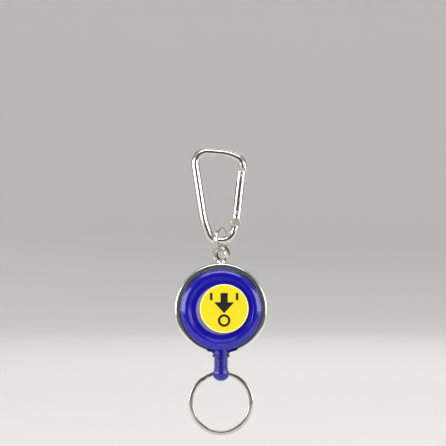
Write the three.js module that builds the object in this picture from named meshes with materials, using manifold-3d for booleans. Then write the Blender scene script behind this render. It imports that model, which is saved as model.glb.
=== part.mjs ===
// Retractable badge reel: a carabiner, a split link ring, a swivel eye, a round
// reel case with a spring-driven spool of cord, and a pull grip with a key ring.
//
// Millimetres, +Z up. The reel hangs upright and its front looks along -Y. The
// origin is the inside of the carabiner's top bow, where the reel hangs.

import * as THREE from "three";
import { mergeVertices } from "three/addons/utils/BufferGeometryUtils.js";
import Module from "manifold-3d";

const wasm = await Module();
wasm.setup();

// ---------------------------------------------------------------- dimensions

const RUNNING_GAP = 0.3; // between pieces that turn or slide on each other
const PIN_GAP = 0.25; // round a rivet in its hole
const LINK_GAP = 0.5; // between the link ring's wire and the eye that it threads
const EDGE = 0.2; // chamfer on the edges of turned and moulded pieces
const CUT_PAST = 1; // by which a cut runs past the surface that it opens

// Carabiner: a round bar bent in the XZ plane, from the nose to the hinge end.
// Each corner is x, z and the bend radius of the bar's centre line.
const BAR_DIAMETER = 2.8;
const BAR_CORNERS = [
  [7.8, -3.95, 0],
  [6.95, -0.95, 3.2],
  [2.5, 1.06, 14],
  [-9.73, 2.04, 4.2],
  [-6.0, -22.3, 20],
  [-3.38, -29.3, 3],
  [3.38, -29.3, 4],
  [5.09, -24.2, 0],
];
const TONGUE_THICKNESS = 1.0;
const TONGUE_CLEARANCE = 0.25; // each side, between a tongue and its slot

// Gate: a slotted tube on the line through its two rivets.
const HINGE_PIN = [5.57, -19.56];
const LATCH_PIN = [7.03, -6.6];
const GATE_DIAMETER = 2.8;
const GATE_BELOW_HINGE = 2.15;
const GATE_ABOVE_LATCH = 1.55;
const GATE_BORE = 1.7;
const GATE_BORE_END = 1.2; // of solid metal between the bore and the upper slot
const RIVET_PROUD = 0.05; // of a rivet's heads over the gate
const RIVET_FLAT = 0.7; // share of a head that is flat
const HINGE_PIN_DIAMETER = 1.0;
const LATCH_PIN_DIAMETER = 0.8;
const HINGE_TONGUE_RADIUS = 1.15;
const HINGE_TONGUE_WIDTH = 3.5; // of the flattened part below the gate
const HINGE_TONGUE_FLARE = 0.5; // height over which it widens below the gate
const HINGE_TONGUE_HEIGHT = 0.9; // of its widest part
const HINGE_TONGUE_TAPER = 1.2; // height over which it narrows into the bar
const HINGE_TONGUE_ROOT = 2.24; // width where it ends in the bar
const HOOK_DEPTH = 0.85; // of the hook's barb, under the latch pin
const HOOK_REACH = 0.55; // of the barb, past the gate's middle line
const HOOK_INSET = 0.05; // of the hook's outside from the gate's
const HOOK_RISE = 0.9; // of the hook's straight inside, above the gate
const HOOK_NECK_RISE = 2.0; // to where the hook ends in the bar, above the gate
const HOOK_NECK_WIDTH = 1.2;
const GATE_SPRING_WIRE = 0.3;
const GATE_SPRING_TURNS = 7;
const GATE_SPRING_LENGTH = 4.2;
const PLUNGER_DIAMETER = 1.1;
const PLUNGER_LENGTH = 3.1;

// Link ring: a small split ring through the eye and round the carabiner's bar.
const LINK_OUTER_DIAMETER = 8.6;
const LINK_WIRE_WIDTH = 0.9;
const LINK_COIL_THICKNESS = 0.42;
const LINK_COIL_GAP = 0.06;
const LINK_SPLIT = THREE.MathUtils.degToRad(35); // middle of the crossover
const LINK_TURN = THREE.MathUtils.degToRad(61.3); // of the ring's plane, from X

// Swivel eye: its hole looks along the link ring's wire.
const EYE_HOLE_DIAMETER = 3.8;
const EYE_WALL = 0.9;
const EYE_THICKNESS = 3.6;
const EYE_FOOT_DIAMETER = 3.7;
const EYE_FOOT_HEIGHT = 0.55;
const EYE_FOOT_TAPER = 0.4; // of the foot's top edge
const EYE_TO_CASE = 0.6; // from the loop down to the top of the case
const STEM_DIAMETER = 1.9;
const STEM_HEAD_DIAMETER = 3.4;
const STEM_HEAD_HEIGHT = 0.8;
const WASHER_DIAMETER = 4.0;
const WASHER_HEIGHT = 0.5;
const POCKET_DEPTH = 4; // of the room for the washer and the stem's head

// Case: two moulded shells and a bright band round their seam. The band's edges
// turn inwards over the shells' rims. The case is a body of revolution about Y.
const CASE_DIAMETER = 32;
const BAND_THICKNESS = 0.55;
const BAND_WIDTH = 6.2;
const BAND_LIP = 1.7; // the band's outside to the inside of its turned-in edges
const BAND_END_LEFT = THREE.MathUtils.degToRad(19); // either side of straight down
const BAND_END_RIGHT = THREE.MathUtils.degToRad(23);
const SHELL_WALL = 1.2;
const RIM_WALL = 0.7; // of the shells' rims, under the band's edges
const FRONT_DEPTH = 5.2; // seam to the crest of the front shoulder
const FRONT_RECESS = 0.6; // crest to the flat ring inside it
const SHOULDER_ROUND = 4.5; // gentle round from the crest outwards
const SHOULDER_SLOPE = THREE.MathUtils.degToRad(28); // where the gentle round ends
const SHOULDER_EDGE = 1.1; // tight round from there to the band
const DIP_WIDTH = 0.8; // crest inwards to the flat ring
const BACK_ROUND = [1.9, 1.9]; // radial and axial size of the back's rounded edge
const BACK_DEPTH = 5.0;
const INNER_CORNER = 0.4; // chamfer inside the shells' corners
const PAD_DIAMETER = 17.2;
const PAD_HEIGHT = 1.1;
const LIP_HEIGHT = 1.2;
const LIP_THICKNESS = 0.45;
const LABEL_DIAMETER = 16.8;
const LABEL_THICKNESS = 0.25;
const LABEL_OFFSET = [1.1, 0.5];

const CORD_DIAMETER = 0.9;

// Spout: where the cord leaves the case, half on each shell.
const SPOUT_DIAMETER = 6.0;
const SPOUT_LENGTH = 1.2; // below the band's inside
const SPOUT_ROOT = 0.2; // from the shell's inside down to the spout's top
const SPOUT_RIM = 0.6; // height of the rim at its mouth
const SPOUT_GROOVE_DEPTH = 0.3;
const SPOUT_GROOVE_HEIGHT = 0.4;
const CORD_GAP = 0.4; // round the cord in the spout and the grip
const FUNNEL_WIDTH = 3.0; // by which the bore widens towards the spool
const FUNNEL_START = 0.9; // below the shell's inside
const FUNNEL_END = 2.0; // above it

// Reel inside the case.
const POST_DIAMETER = 3.2;
const POST_SLOT = 0.5;
const POST_SLOT_FLOOR = 1.8; // behind the seam
const POST_SLOT_REACH = 0.6; // past the post's middle
const FLANGE_THICKNESS = 0.8;
const DRUM_DIAMETER = 15.0;
const DRUM_WALL = 0.8;
const SPOOL_FRONT_GAP = 0.5; // to the front shell
const SPOOL_BACK_GAP = 0.7; // to the back shell
const COVER_THICKNESS = 0.4;
const COVER_RECESS = 0.2;
const MAINSPRING_STRIP = 0.15;
const MAINSPRING_TURNS = 6;
const MAINSPRING_HUB_GAP = 0.3; // from the hub to the innermost turn
const WINDING_THICKNESS = 2.8; // the stack of cord layers on the drum
const LEAD_ANGLE = THREE.MathUtils.degToRad(40); // from straight down, where the cord leaves
const LEAD_POINTS = [ // x, and height over the shell's inside
  [3.9, 2.6],
  [1.1, 0.7],
  [0.1, -0.8],
];
const LEAD_END = 0.2; // above the spout's mouth

// Pull grip: a ribbed neck and a ball, with the key ring through the ball.
const NECK_DIAMETER = 4.9;
const NECK_LENGTH = 3.65;
const RIB_COUNT = 4;
const RIB_DEPTH = 0.38;
const RIB_SHARE = 0.55; // of the pitch
const RIB_SLOPE = 0.1; // share of the pitch for each side of a groove
const COLLAR_DIAMETER = 5.2;
const COLLAR_HEIGHT = 0.9;
const BALL_DIAMETER = 6.2;
const BALL_HEIGHT = 5.6; // it is a little flattened
const BALL_DROP = 0.7; // collar to the middle of the ball
const BALL_HOLE = 3.2;
const KNOT_DIAMETER = 1.9;
const KNOT_HEIGHT = 2.55; // of the knot above the middle of the ball
const KNOT_GAP = 0.35;
const TAIL_END = 0.1; // from the cord's end to the grip's top

const KEY_RING_DIAMETER = 22.4;
const KEY_RING_WIRE_WIDTH = 1.5;
const KEY_RING_COIL_THICKNESS = 0.65;
const KEY_RING_COIL_GAP = 0.1;
const RING_CROSSOVER = THREE.MathUtils.degToRad(26); // turn over which the wire changes side
const RING_END_GAP = THREE.MathUtils.degToRad(17); // from a wire's end to the crossover
const KEY_RING_SPLIT = THREE.MathUtils.degToRad(118); // middle of the crossover

// ----------------------------------------------------------- derived places

const barRadius = BAR_DIAMETER / 2;
const lowerBarZ = BAR_CORNERS[5][1];
const gateRadius = GATE_DIAMETER / 2;
const slotWidth = TONGUE_THICKNESS + 2 * TONGUE_CLEARANCE;
const pinHoleReach = GATE_DIAMETER + CUT_PAST;

const eyeOuterRadius = EYE_HOLE_DIAMETER / 2 + EYE_WALL;
const eyeTopZ = lowerBarZ - barRadius - RUNNING_GAP;
const eyeZ = eyeTopZ - eyeOuterRadius;
const linkBottomZ = eyeTopZ - EYE_WALL - LINK_GAP - LINK_WIRE_WIDTH;
const linkZ = linkBottomZ + LINK_OUTER_DIAMETER / 2;

const caseRadius = CASE_DIAMETER / 2;
const caseZ = eyeZ - eyeOuterRadius - EYE_TO_CASE - caseRadius;
const bandInner = caseRadius - BAND_THICKNESS;
const seatRadius = bandInner - RUNNING_GAP;
const bandLipInner = caseRadius - BAND_LIP;
const shoulderRadius = bandLipInner - RUNNING_GAP;
const shoulderInner = shoulderRadius - SHELL_WALL;
const rimFace = BAND_WIDTH / 2 - BAND_THICKNESS - RUNNING_GAP;
const rimInside = rimFace - RIM_WALL;
const shellInner = seatRadius - SHELL_WALL;
const lipRadius = shellInner - RUNNING_GAP;
const backInner = lipRadius - LIP_THICKNESS;
const stemHole = STEM_DIAMETER / 2 + RUNNING_GAP;
const ringFace = -(FRONT_DEPTH - FRONT_RECESS);
const padFace = ringFace - PAD_HEIGHT;
const caseTopZ = caseZ + caseRadius;
const caseTopInside = caseZ + shellInner;
const stemHeadTop = caseTopInside - 2 * RUNNING_GAP - WASHER_HEIGHT;
const stemHeadBottom = stemHeadTop - STEM_HEAD_HEIGHT;
const cordBoreRadius = CORD_DIAMETER / 2 + CORD_GAP;

const spoutEndZ = caseZ - bandInner - SPOUT_LENGTH;
const gripTopZ = spoutEndZ - RUNNING_GAP;
const collarTopZ = gripTopZ - NECK_LENGTH;
const ballZ = collarTopZ - COLLAR_HEIGHT - BALL_DROP;
const keyRingMiddleRadius = (KEY_RING_DIAMETER - KEY_RING_WIRE_WIDTH) / 2;
const knotZ = ballZ + KNOT_HEIGHT;

const drumRadius = DRUM_DIAMETER / 2;
const flangeRadius = stemHeadBottom - RUNNING_GAP - caseZ;
const spoolFront = ringFace + SHELL_WALL + SPOOL_FRONT_GAP;
const spoolBack = BACK_DEPTH - SHELL_WALL - SPOOL_BACK_GAP;
const windingInner = drumRadius + RUNNING_GAP;
const windingOuter = windingInner + WINDING_THICKNESS;

// ------------------------------------------------------------------ materials

function material(colour, roughness, metalness, opacity = 1) {
  return new THREE.MeshStandardMaterial({
    color: colour,
    roughness,
    metalness,
    opacity,
    transparent: opacity < 1,
  });
}

const polishedNickel = material("#d4d2cc", 0.18, 1);
const chrome = material("#e2e2e2", 0.1, 1);
const springSteel = material("#8d8f93", 0.35, 1);
const bluePlastic = material("#1420b8", 0.22, 0, 0.85);
const whitePlastic = material("#dcdcd6", 0.45, 0);
const labelPaper = material("#f2e225", 0.5, 0);
const nylonCord = material("#16161a", 0.8, 0);

// -------------------------------------------------------------- solid helpers

// A closed manifold-3d solid from a three.js geometry, faces pointing out.
function toSolid(geometry) {
  const bare = geometry.index ? geometry.toNonIndexed() : geometry.clone();
  bare.deleteAttribute("normal");
  bare.deleteAttribute("uv");
  const merged = mergeVertices(bare, 1e-4);
  const points = merged.attributes.position;
  const corners = merged.index.array;
  const a = new THREE.Vector3();
  const b = new THREE.Vector3();
  const c = new THREE.Vector3();
  const triangles = [];
  let volume = 0;
  for (let i = 0; i < corners.length; i += 3) {
    const [p, q, r] = [corners[i], corners[i + 1], corners[i + 2]];
    if (p === q || q === r || r === p) continue;
    a.fromBufferAttribute(points, p);
    b.fromBufferAttribute(points, q);
    c.fromBufferAttribute(points, r);
    volume += a.dot(b.cross(c));
    triangles.push(p, q, r);
  }
  if (volume < 0) triangles.reverse();
  return new wasm.Manifold(
    new wasm.Mesh({
      numProp: 3,
      vertProperties: new Float32Array(points.array),
      triVerts: new Uint32Array(triangles),
    })
  );
}

function toMesh(name, solid, finish) {
  const { vertProperties, triVerts } = solid.getMesh();
  const geometry = new THREE.BufferGeometry();
  geometry.setAttribute("position", new THREE.BufferAttribute(vertProperties, 3));
  geometry.setIndex(new THREE.BufferAttribute(triVerts, 1));
  geometry.computeVertexNormals();
  const mesh = new THREE.Mesh(geometry, finish);
  mesh.name = name;
  return mesh;
}

// Turned about Y. The profile is a list of [radius, y].
function turnedAboutY(profile, segments) {
  const points = profile.map(([radius, y]) => new THREE.Vector2(radius, y));
  const ends = [points[0], points[points.length - 1]];
  if (ends.some((end) => end.x > 0)) points.push(points[0].clone());
  return new THREE.LatheGeometry(points, segments);
}

// Turned about Z. The profile is a list of [radius, z].
function turnedAboutZ(profile, segments) {
  return turnedAboutY(profile, segments).rotateX(Math.PI / 2);
}

function rodAlongY(diameter, length, segments = 16) {
  return new THREE.CylinderGeometry(diameter / 2, diameter / 2, length, segments);
}

function rodAlongZ(diameter, fromZ, toZ, segments = 16) {
  const rod = new THREE.CylinderGeometry(diameter / 2, diameter / 2, toZ - fromZ, segments);
  return rod.rotateX(Math.PI / 2).translate(0, 0, (fromZ + toZ) / 2);
}

function block(fromCorner, toCorner) {
  const size = toCorner.map((value, i) => value - fromCorner[i]);
  const centre = toCorner.map((value, i) => (value + fromCorner[i]) / 2);
  return new THREE.BoxGeometry(...size).translate(...centre);
}

// Points [radius, y] on an ellipse, from angle `start` to `end`.
function arcPoints(centreR, centreY, a, b, start, end, steps) {
  return Array.from({ length: steps + 1 }, (_, i) => {
    const angle = start + ((end - start) * i) / steps;
    return [centreR + a * Math.cos(angle), centreY + b * Math.sin(angle)];
  });
}

function polygonOf(count, radius) {
  const shape = new THREE.Shape();
  for (let i = 0; i < count; i += 1) {
    const angle = (2 * Math.PI * (i + 0.5)) / count;
    const point = [radius * Math.cos(angle), radius * Math.sin(angle)];
    if (i === 0) shape.moveTo(...point);
    else shape.lineTo(...point);
  }
  shape.closePath();
  return shape;
}

function rectangle(width, height) {
  const shape = new THREE.Shape();
  shape.moveTo(-width / 2, -height / 2);
  shape.lineTo(width / 2, -height / 2);
  shape.lineTo(width / 2, height / 2);
  shape.lineTo(-width / 2, height / 2);
  shape.closePath();
  return shape;
}

function sweep(section, curve, steps) {
  return new THREE.ExtrudeGeometry(section, { steps, extrudePath: curve, bevelEnabled: false });
}

// A plate in the XZ plane, centred on Y, from an outline of [x, z] points.
function plate(outline, thickness) {
  const shape = new THREE.Shape(outline.map(([x, z]) => new THREE.Vector2(x, z)));
  const flat = new THREE.ExtrudeGeometry(shape, { depth: thickness, bevelEnabled: false });
  return flat.rotateX(Math.PI / 2).translate(0, thickness / 2, 0);
}

class CurveByFunction extends THREE.Curve {
  constructor(place) {
    super();
    this.place = place;
  }

  getPoint(t, target = new THREE.Vector3()) {
    return target.set(...this.place(t));
  }
}

// A line through the corners with each corner rounded to its bend radius.
function bentLine(corners) {
  const path = new THREE.CurvePath();
  const at = corners.map(([x, z]) => new THREE.Vector3(x, 0, z));
  let from = at[0];
  for (let i = 1; i < corners.length - 1; i += 1) {
    const back = at[i - 1].clone().sub(at[i]).normalize();
    const ahead = at[i + 1].clone().sub(at[i]).normalize();
    const half = back.angleTo(ahead) / 2;
    const radius = corners[i][2];
    const reach = radius / Math.tan(half);
    const start = at[i].clone().addScaledVector(back, reach);
    const middle = back.clone().add(ahead).normalize();
    const centre = at[i].clone().addScaledVector(middle, radius / Math.sin(half));
    const spoke = start.clone().sub(centre);
    const axis = back.clone().cross(spoke).normalize();
    const turn = Math.PI - 2 * half;
    path.add(new THREE.LineCurve3(from, start));
    path.add(
      new CurveByFunction((t) => {
        const point = spoke.clone().applyAxisAngle(axis, turn * t).add(centre);
        return point.toArray();
      })
    );
    from = at[i].clone().addScaledVector(ahead, reach);
  }
  path.add(new THREE.LineCurve3(from, at[at.length - 1]));
  return path;
}

// A split ring in the XZ plane: two flat coils side by side along Y, joined by
// a short crossover centred on angle `split`.
function splitRing(outerDiameter, wireWidth, coilThickness, coilGap, split, steps) {
  const radius = (outerDiameter - wireWidth) / 2;
  const pitch = coilThickness + coilGap;
  const start = RING_END_GAP - 2 * Math.PI;
  const end = 2 * Math.PI - RING_END_GAP;
  const curve = new CurveByFunction((t) => {
    const angle = start + (end - start) * t;
    const slide = THREE.MathUtils.smoothstep(angle, -RING_CROSSOVER / 2, RING_CROSSOVER / 2);
    const x = radius * Math.cos(split - angle);
    const z = radius * Math.sin(split - angle);
    return [x, pitch * (slide - 0.5), z];
  });
  return sweep(rectangle(coilThickness, wireWidth), curve, steps);
}

// ------------------------------------------------------------------- carabiner

const gateLine = new THREE.Vector2(LATCH_PIN[0] - HINGE_PIN[0], LATCH_PIN[1] - HINGE_PIN[1]);
const gateLean = Math.atan2(gateLine.x, gateLine.y);
const latchHeight = gateLine.length();
const gateTop = latchHeight + GATE_ABOVE_LATCH;

// Into the gate's place: local origin on the hinge pin, local Z up the gate.
function onGateLine(geometry) {
  return geometry.rotateY(gateLean).translate(HINGE_PIN[0], 0, HINGE_PIN[1]);
}

// The flattened hinge end of the bar: a round-headed tongue in the gate's slot.
function hingeTongue() {
  const head = HINGE_TONGUE_RADIUS;
  const wide = HINGE_TONGUE_WIDTH / 2;
  const root = HINGE_TONGUE_ROOT / 2;
  const shoulder = -GATE_BELOW_HINGE - RUNNING_GAP;
  const wideTop = shoulder - HINGE_TONGUE_FLARE;
  const wideFoot = wideTop - HINGE_TONGUE_HEIGHT;
  const rootZ = wideFoot - HINGE_TONGUE_TAPER;
  const outline = [
    ...arcPoints(0, 0, head, head, 0, Math.PI, 10),
    [-head, shoulder],
    [-wide, wideTop],
    [-wide, wideFoot],
    [-root, rootZ],
    [root, rootZ],
    [wide, wideFoot],
    [wide, wideTop],
    [head, shoulder],
  ];
  return onGateLine(plate(outline, TONGUE_THICKNESS));
}

// The hooked nose: its barb lies under the latch pin and opens to the inside.
function latchHook() {
  const notch = LATCH_PIN_DIAMETER / 2 + RUNNING_GAP;
  const outer = gateRadius - HOOK_INSET;
  const barbTop = latchHeight - notch;
  const barbFoot = barbTop - HOOK_DEPTH;
  const neck = gateTop + HOOK_NECK_RISE;
  const outline = [
    [outer, barbFoot + EDGE],
    [outer, neck],
    [outer - HOOK_NECK_WIDTH, neck],
    [notch, gateTop + HOOK_RISE],
    [notch, barbTop],
    [-HOOK_REACH, barbTop],
    [-HOOK_REACH, barbFoot + EDGE],
    [-HOOK_REACH + EDGE, barbFoot],
    [outer - EDGE, barbFoot],
  ];
  return onGateLine(plate(outline, TONGUE_THICKNESS));
}

function carabinerBody() {
  const bar = sweep(polygonOf(12, barRadius), bentLine(BAR_CORNERS), 48);
  const pinHole = rodAlongY(HINGE_PIN_DIAMETER + 2 * PIN_GAP, pinHoleReach);
  return toSolid(bar)
    .add(toSolid(hingeTongue()))
    .add(toSolid(latchHook()))
    .subtract(toSolid(onGateLine(pinHole)));
}

function carabinerGate() {
  const slotDepthAtHinge = HINGE_TONGUE_RADIUS + 2 * RUNNING_GAP;
  const slotFloorAtLatch = latchHeight - LATCH_PIN_DIAMETER / 2 - HOOK_DEPTH - 3 * RUNNING_GAP;
  const half = slotWidth / 2;
  const tube = turnedAboutZ(
    [
      [0, -GATE_BELOW_HINGE],
      [gateRadius - EDGE, -GATE_BELOW_HINGE],
      [gateRadius, -GATE_BELOW_HINGE + EDGE],
      [gateRadius, gateTop - EDGE],
      [gateRadius - EDGE, gateTop],
      [0, gateTop],
    ],
    20
  );
  const side = gateRadius + CUT_PAST;
  const lowerSlot = block([-side, -half, -GATE_BELOW_HINGE - CUT_PAST], [side, half, slotDepthAtHinge]);
  const upperSlot = block([-side, -half, slotFloorAtLatch], [side, half, gateTop + CUT_PAST]);
  const bore = rodAlongZ(GATE_BORE, 0, slotFloorAtLatch - GATE_BORE_END);
  const hingeHole = rodAlongY(HINGE_PIN_DIAMETER + 2 * PIN_GAP, pinHoleReach);
  const latchHole = rodAlongY(LATCH_PIN_DIAMETER + 2 * PIN_GAP, pinHoleReach);
  return toSolid(onGateLine(tube))
    .subtract(toSolid(onGateLine(lowerSlot)))
    .subtract(toSolid(onGateLine(upperSlot)))
    .subtract(toSolid(onGateLine(bore)))
    .subtract(toSolid(onGateLine(hingeHole)))
    .subtract(toSolid(onGateLine(latchHole.translate(0, 0, latchHeight))));
}

// A rivet along Y, peened to a low dome at both ends.
function rivet(diameter, height) {
  const radius = diameter / 2;
  const reach = gateRadius + RIVET_PROUD;
  const profile = [
    [0, -reach],
    [radius * RIVET_FLAT, -reach],
    [radius, -reach + EDGE],
    [radius, reach - EDGE],
    [radius * RIVET_FLAT, reach],
    [0, reach],
  ];
  return toSolid(onGateLine(turnedAboutY(profile, 16).translate(0, 0, height)));
}

const plungerFoot = HINGE_TONGUE_RADIUS + RUNNING_GAP;
const springFoot = plungerFoot + PLUNGER_LENGTH + RUNNING_GAP;

function gateSpring() {
  const radius = (GATE_BORE - GATE_SPRING_WIRE) / 2 - PIN_GAP;
  const curve = new CurveByFunction((t) => {
    const angle = 2 * Math.PI * GATE_SPRING_TURNS * t;
    const height = springFoot + GATE_SPRING_WIRE / 2 + GATE_SPRING_LENGTH * t;
    return [radius * Math.cos(angle), radius * Math.sin(angle), height];
  });
  const wire = sweep(polygonOf(5, GATE_SPRING_WIRE / 2), curve, GATE_SPRING_TURNS * 8);
  return toSolid(onGateLine(wire));
}

function gatePlunger() {
  const radius = PLUNGER_DIAMETER / 2;
  const nose = arcPoints(0, plungerFoot + radius, radius, radius, -Math.PI / 2, 0, 4);
  const profile = [[0, plungerFoot], ...nose.slice(1), [radius, plungerFoot + PLUNGER_LENGTH]];
  profile.push([0, plungerFoot + PLUNGER_LENGTH]);
  return toSolid(onGateLine(turnedAboutZ(profile, 12)));
}

// ------------------------------------------------------------ link ring and eye

function linkRing() {
  const ring = splitRing(
    LINK_OUTER_DIAMETER,
    LINK_WIRE_WIDTH,
    LINK_COIL_THICKNESS,
    LINK_COIL_GAP,
    LINK_SPLIT,
    56
  );
  return toSolid(ring.rotateZ(LINK_TURN).translate(0, 0, linkZ));
}

function swivelEye() {
  const loopSection = arcPoints(
    (EYE_HOLE_DIAMETER + EYE_WALL) / 2,
    0,
    EYE_WALL / 2,
    EYE_THICKNESS / 2,
    0,
    2 * Math.PI,
    10
  );
  const loop = turnedAboutY(loopSection.slice(0, -1), 24)
    .rotateZ(LINK_TURN - Math.PI / 2)
    .translate(0, 0, eyeZ);
  const footTop = caseTopZ + RUNNING_GAP + EYE_FOOT_HEIGHT;
  const stem = turnedAboutZ(
    [
      [0, stemHeadBottom],
      [STEM_HEAD_DIAMETER / 2 - EDGE, stemHeadBottom],
      [STEM_HEAD_DIAMETER / 2, stemHeadBottom + EDGE],
      [STEM_HEAD_DIAMETER / 2, stemHeadTop],
      [STEM_DIAMETER / 2, stemHeadTop],
      [STEM_DIAMETER / 2, caseTopZ + RUNNING_GAP],
      [EYE_FOOT_DIAMETER / 2, caseTopZ + RUNNING_GAP],
      [EYE_FOOT_DIAMETER / 2, footTop],
      [EYE_FOOT_DIAMETER / 2 - EYE_FOOT_TAPER, footTop + EYE_FOOT_TAPER],
      [0, footTop + EYE_FOOT_TAPER],
    ],
    18
  );
  const hole = rodAlongY(EYE_HOLE_DIAMETER, 2 * EYE_THICKNESS, 24)
    .rotateZ(LINK_TURN - Math.PI / 2)
    .translate(0, 0, eyeZ);
  return toSolid(stem).subtract(toSolid(hole)).add(toSolid(loop));
}

function swivelWasher() {
  const top = caseTopInside - RUNNING_GAP;
  const profile = [
    [stemHole, top - WASHER_HEIGHT],
    [WASHER_DIAMETER / 2, top - WASHER_HEIGHT],
    [WASHER_DIAMETER / 2, top],
    [stemHole, top],
  ];
  return toSolid(turnedAboutZ(profile, 20));
}

// ------------------------------------------------------------------------ case

const CASE_SEGMENTS = 40;

function inCase(geometry) {
  return toSolid(geometry.translate(0, 0, caseZ));
}

// The spout's outside, a stepped tube along Z below the case.
function spout() {
  const outer = SPOUT_DIAMETER / 2;
  const groove = outer - SPOUT_GROOVE_DEPTH;
  const grooveZ = spoutEndZ + SPOUT_RIM;
  const topZ = caseZ - shellInner - SPOUT_ROOT;
  return turnedAboutZ(
    [
      [0, spoutEndZ],
      [outer - EDGE, spoutEndZ],
      [outer, spoutEndZ + EDGE],
      [outer, grooveZ],
      [groove, grooveZ],
      [groove, grooveZ + SPOUT_GROOVE_HEIGHT],
      [outer, grooveZ + SPOUT_GROOVE_HEIGHT],
      [outer, topZ],
      [0, topZ],
    ],
    20
  );
}

// The cord's way out, with a funnel on the inside.
function cordBore() {
  const insideZ = caseZ - shellInner;
  return turnedAboutZ(
    [
      [0, spoutEndZ - CUT_PAST],
      [cordBoreRadius, spoutEndZ - CUT_PAST],
      [cordBoreRadius, insideZ - FUNNEL_START],
      [cordBoreRadius + FUNNEL_WIDTH, insideZ + FUNNEL_END],
      [0, insideZ + FUNNEL_END],
    ],
    12
  );
}

// The swivel's hole through the rim, and room for its washer and head.
function swivelPocket() {
  const room = WASHER_DIAMETER / 2 + RUNNING_GAP;
  return turnedAboutZ(
    [
      [0, caseTopInside - POCKET_DEPTH],
      [room, caseTopInside - POCKET_DEPTH],
      [room, caseTopInside],
      [stemHole, caseTopInside],
      [stemHole, caseTopZ + CUT_PAST],
      [0, caseTopZ + CUT_PAST],
    ],
    16
  );
}

// One shell with its half of the spout; `side` is -1 for the front.
function finishShell(body, side) {
  const reach = caseRadius;
  const low = [-reach, Math.min(0, side * reach), spoutEndZ - CUT_PAST];
  const high = [reach, Math.max(0, side * reach), caseTopZ];
  const half = block(low, high);
  return body
    .add(toSolid(spout()).intersect(toSolid(half)))
    .subtract(toSolid(cordBore()))
    .subtract(toSolid(swivelPocket()));
}

function frontShell() {
  const slope = SHOULDER_SLOPE;
  const edgeR = shoulderRadius - SHOULDER_EDGE;
  const crestR = edgeR - (SHOULDER_ROUND - SHOULDER_EDGE) * Math.sin(slope);
  const crestY = -FRONT_DEPTH;
  const edgeY = crestY + SHOULDER_ROUND - (SHOULDER_ROUND - SHOULDER_EDGE) * Math.cos(slope);
  const quarter = Math.PI / 2;
  const edge = arcPoints(edgeR, edgeY, SHOULDER_EDGE, SHOULDER_EDGE, 0, slope - quarter, 3);
  const dome = arcPoints(
    crestR, crestY + SHOULDER_ROUND, SHOULDER_ROUND, SHOULDER_ROUND, slope - quarter, -quarter, 3
  );
  const dip = arcPoints(crestR, ringFace, DIP_WIDTH, -FRONT_RECESS, quarter, Math.PI, 3);
  const padRadius = PAD_DIAMETER / 2;
  const ringInner = ringFace + SHELL_WALL;
  const profile = [
    [seatRadius, 0],
    [seatRadius, -rimFace],
    [shoulderRadius, -rimFace],
    ...edge,
    ...dome.slice(1),
    ...dip.slice(1),
    [padRadius, ringFace],
    [padRadius, padFace + EDGE],
    [padRadius - EDGE, padFace],
    [0, padFace],
    [0, padFace + SHELL_WALL],
    [padRadius - SHELL_WALL, padFace + SHELL_WALL],
    [padRadius - SHELL_WALL, ringInner],
    [shoulderInner - INNER_CORNER, ringInner],
    [shoulderInner, ringInner + INNER_CORNER],
    [shoulderInner, -rimInside],
    [shellInner, -rimInside],
    [shellInner, 0],
  ];
  return finishShell(inCase(turnedAboutY(profile, CASE_SEGMENTS)), -1);
}

function backShell() {
  const [round, roundDepth] = BACK_ROUND;
  const corner = arcPoints(
    shoulderRadius - round, BACK_DEPTH - roundDepth, round, roundDepth, 0, Math.PI / 2, 5
  );
  const floor = BACK_DEPTH - SHELL_WALL;
  const postEnd = ringFace + SHELL_WALL + RUNNING_GAP;
  const profile = [
    [seatRadius, 0],
    [seatRadius, rimFace],
    [shoulderRadius, rimFace],
    ...corner,
    [0, BACK_DEPTH],
    [0, postEnd],
    [POST_DIAMETER / 2, postEnd],
    [POST_DIAMETER / 2, floor],
    [shoulderInner - INNER_CORNER, floor],
    [shoulderInner, floor - INNER_CORNER],
    [shoulderInner, rimInside],
    [backInner, rimInside],
    [backInner, -LIP_HEIGHT],
    [lipRadius, -LIP_HEIGHT],
    [lipRadius, 0],
  ];
  const slot = block(
    [-POST_SLOT / 2, postEnd - CUT_PAST, -POST_DIAMETER],
    [POST_SLOT / 2, POST_SLOT_FLOOR, POST_SLOT_REACH]
  );
  return finishShell(inCase(turnedAboutY(profile, CASE_SEGMENTS)), 1).subtract(inCase(slot));
}

// A strip rolled round the case, hollowed between its turned-in edges, open at
// the bottom for the spout and pierced at the top for the swivel's stem.
function trimBand() {
  const down = -Math.PI / 2;
  const shape = new THREE.Shape();
  const start = down + BAND_END_RIGHT;
  const end = down - BAND_END_LEFT + 2 * Math.PI;
  shape.absarc(0, 0, caseRadius, start, end, false);
  shape.absarc(0, 0, bandLipInner, end, start, true);
  shape.closePath();
  const strip = new THREE.ExtrudeGeometry(shape, {
    depth: BAND_WIDTH,
    bevelEnabled: false,
    curveSegments: CASE_SEGMENTS,
  });
  strip.rotateX(Math.PI / 2).translate(0, BAND_WIDTH / 2, 0);
  const hollow = rodAlongY(2 * bandInner, BAND_WIDTH - 2 * BAND_THICKNESS, 2 * CASE_SEGMENTS);
  const hole = rodAlongZ(2 * stemHole, caseTopZ - BAND_LIP - CUT_PAST, caseTopZ + CUT_PAST, 16);
  return inCase(strip).subtract(inCase(hollow)).subtract(toSolid(hole));
}

function labelDisc() {
  const disc = rodAlongY(LABEL_DIAMETER, LABEL_THICKNESS, 48);
  return inCase(disc.translate(LABEL_OFFSET[0], padFace - LABEL_THICKNESS / 2, LABEL_OFFSET[1]));
}

// -------------------------------------------------------------- reel mechanism

const hubHole = POST_DIAMETER / 2 + RUNNING_GAP;

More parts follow.
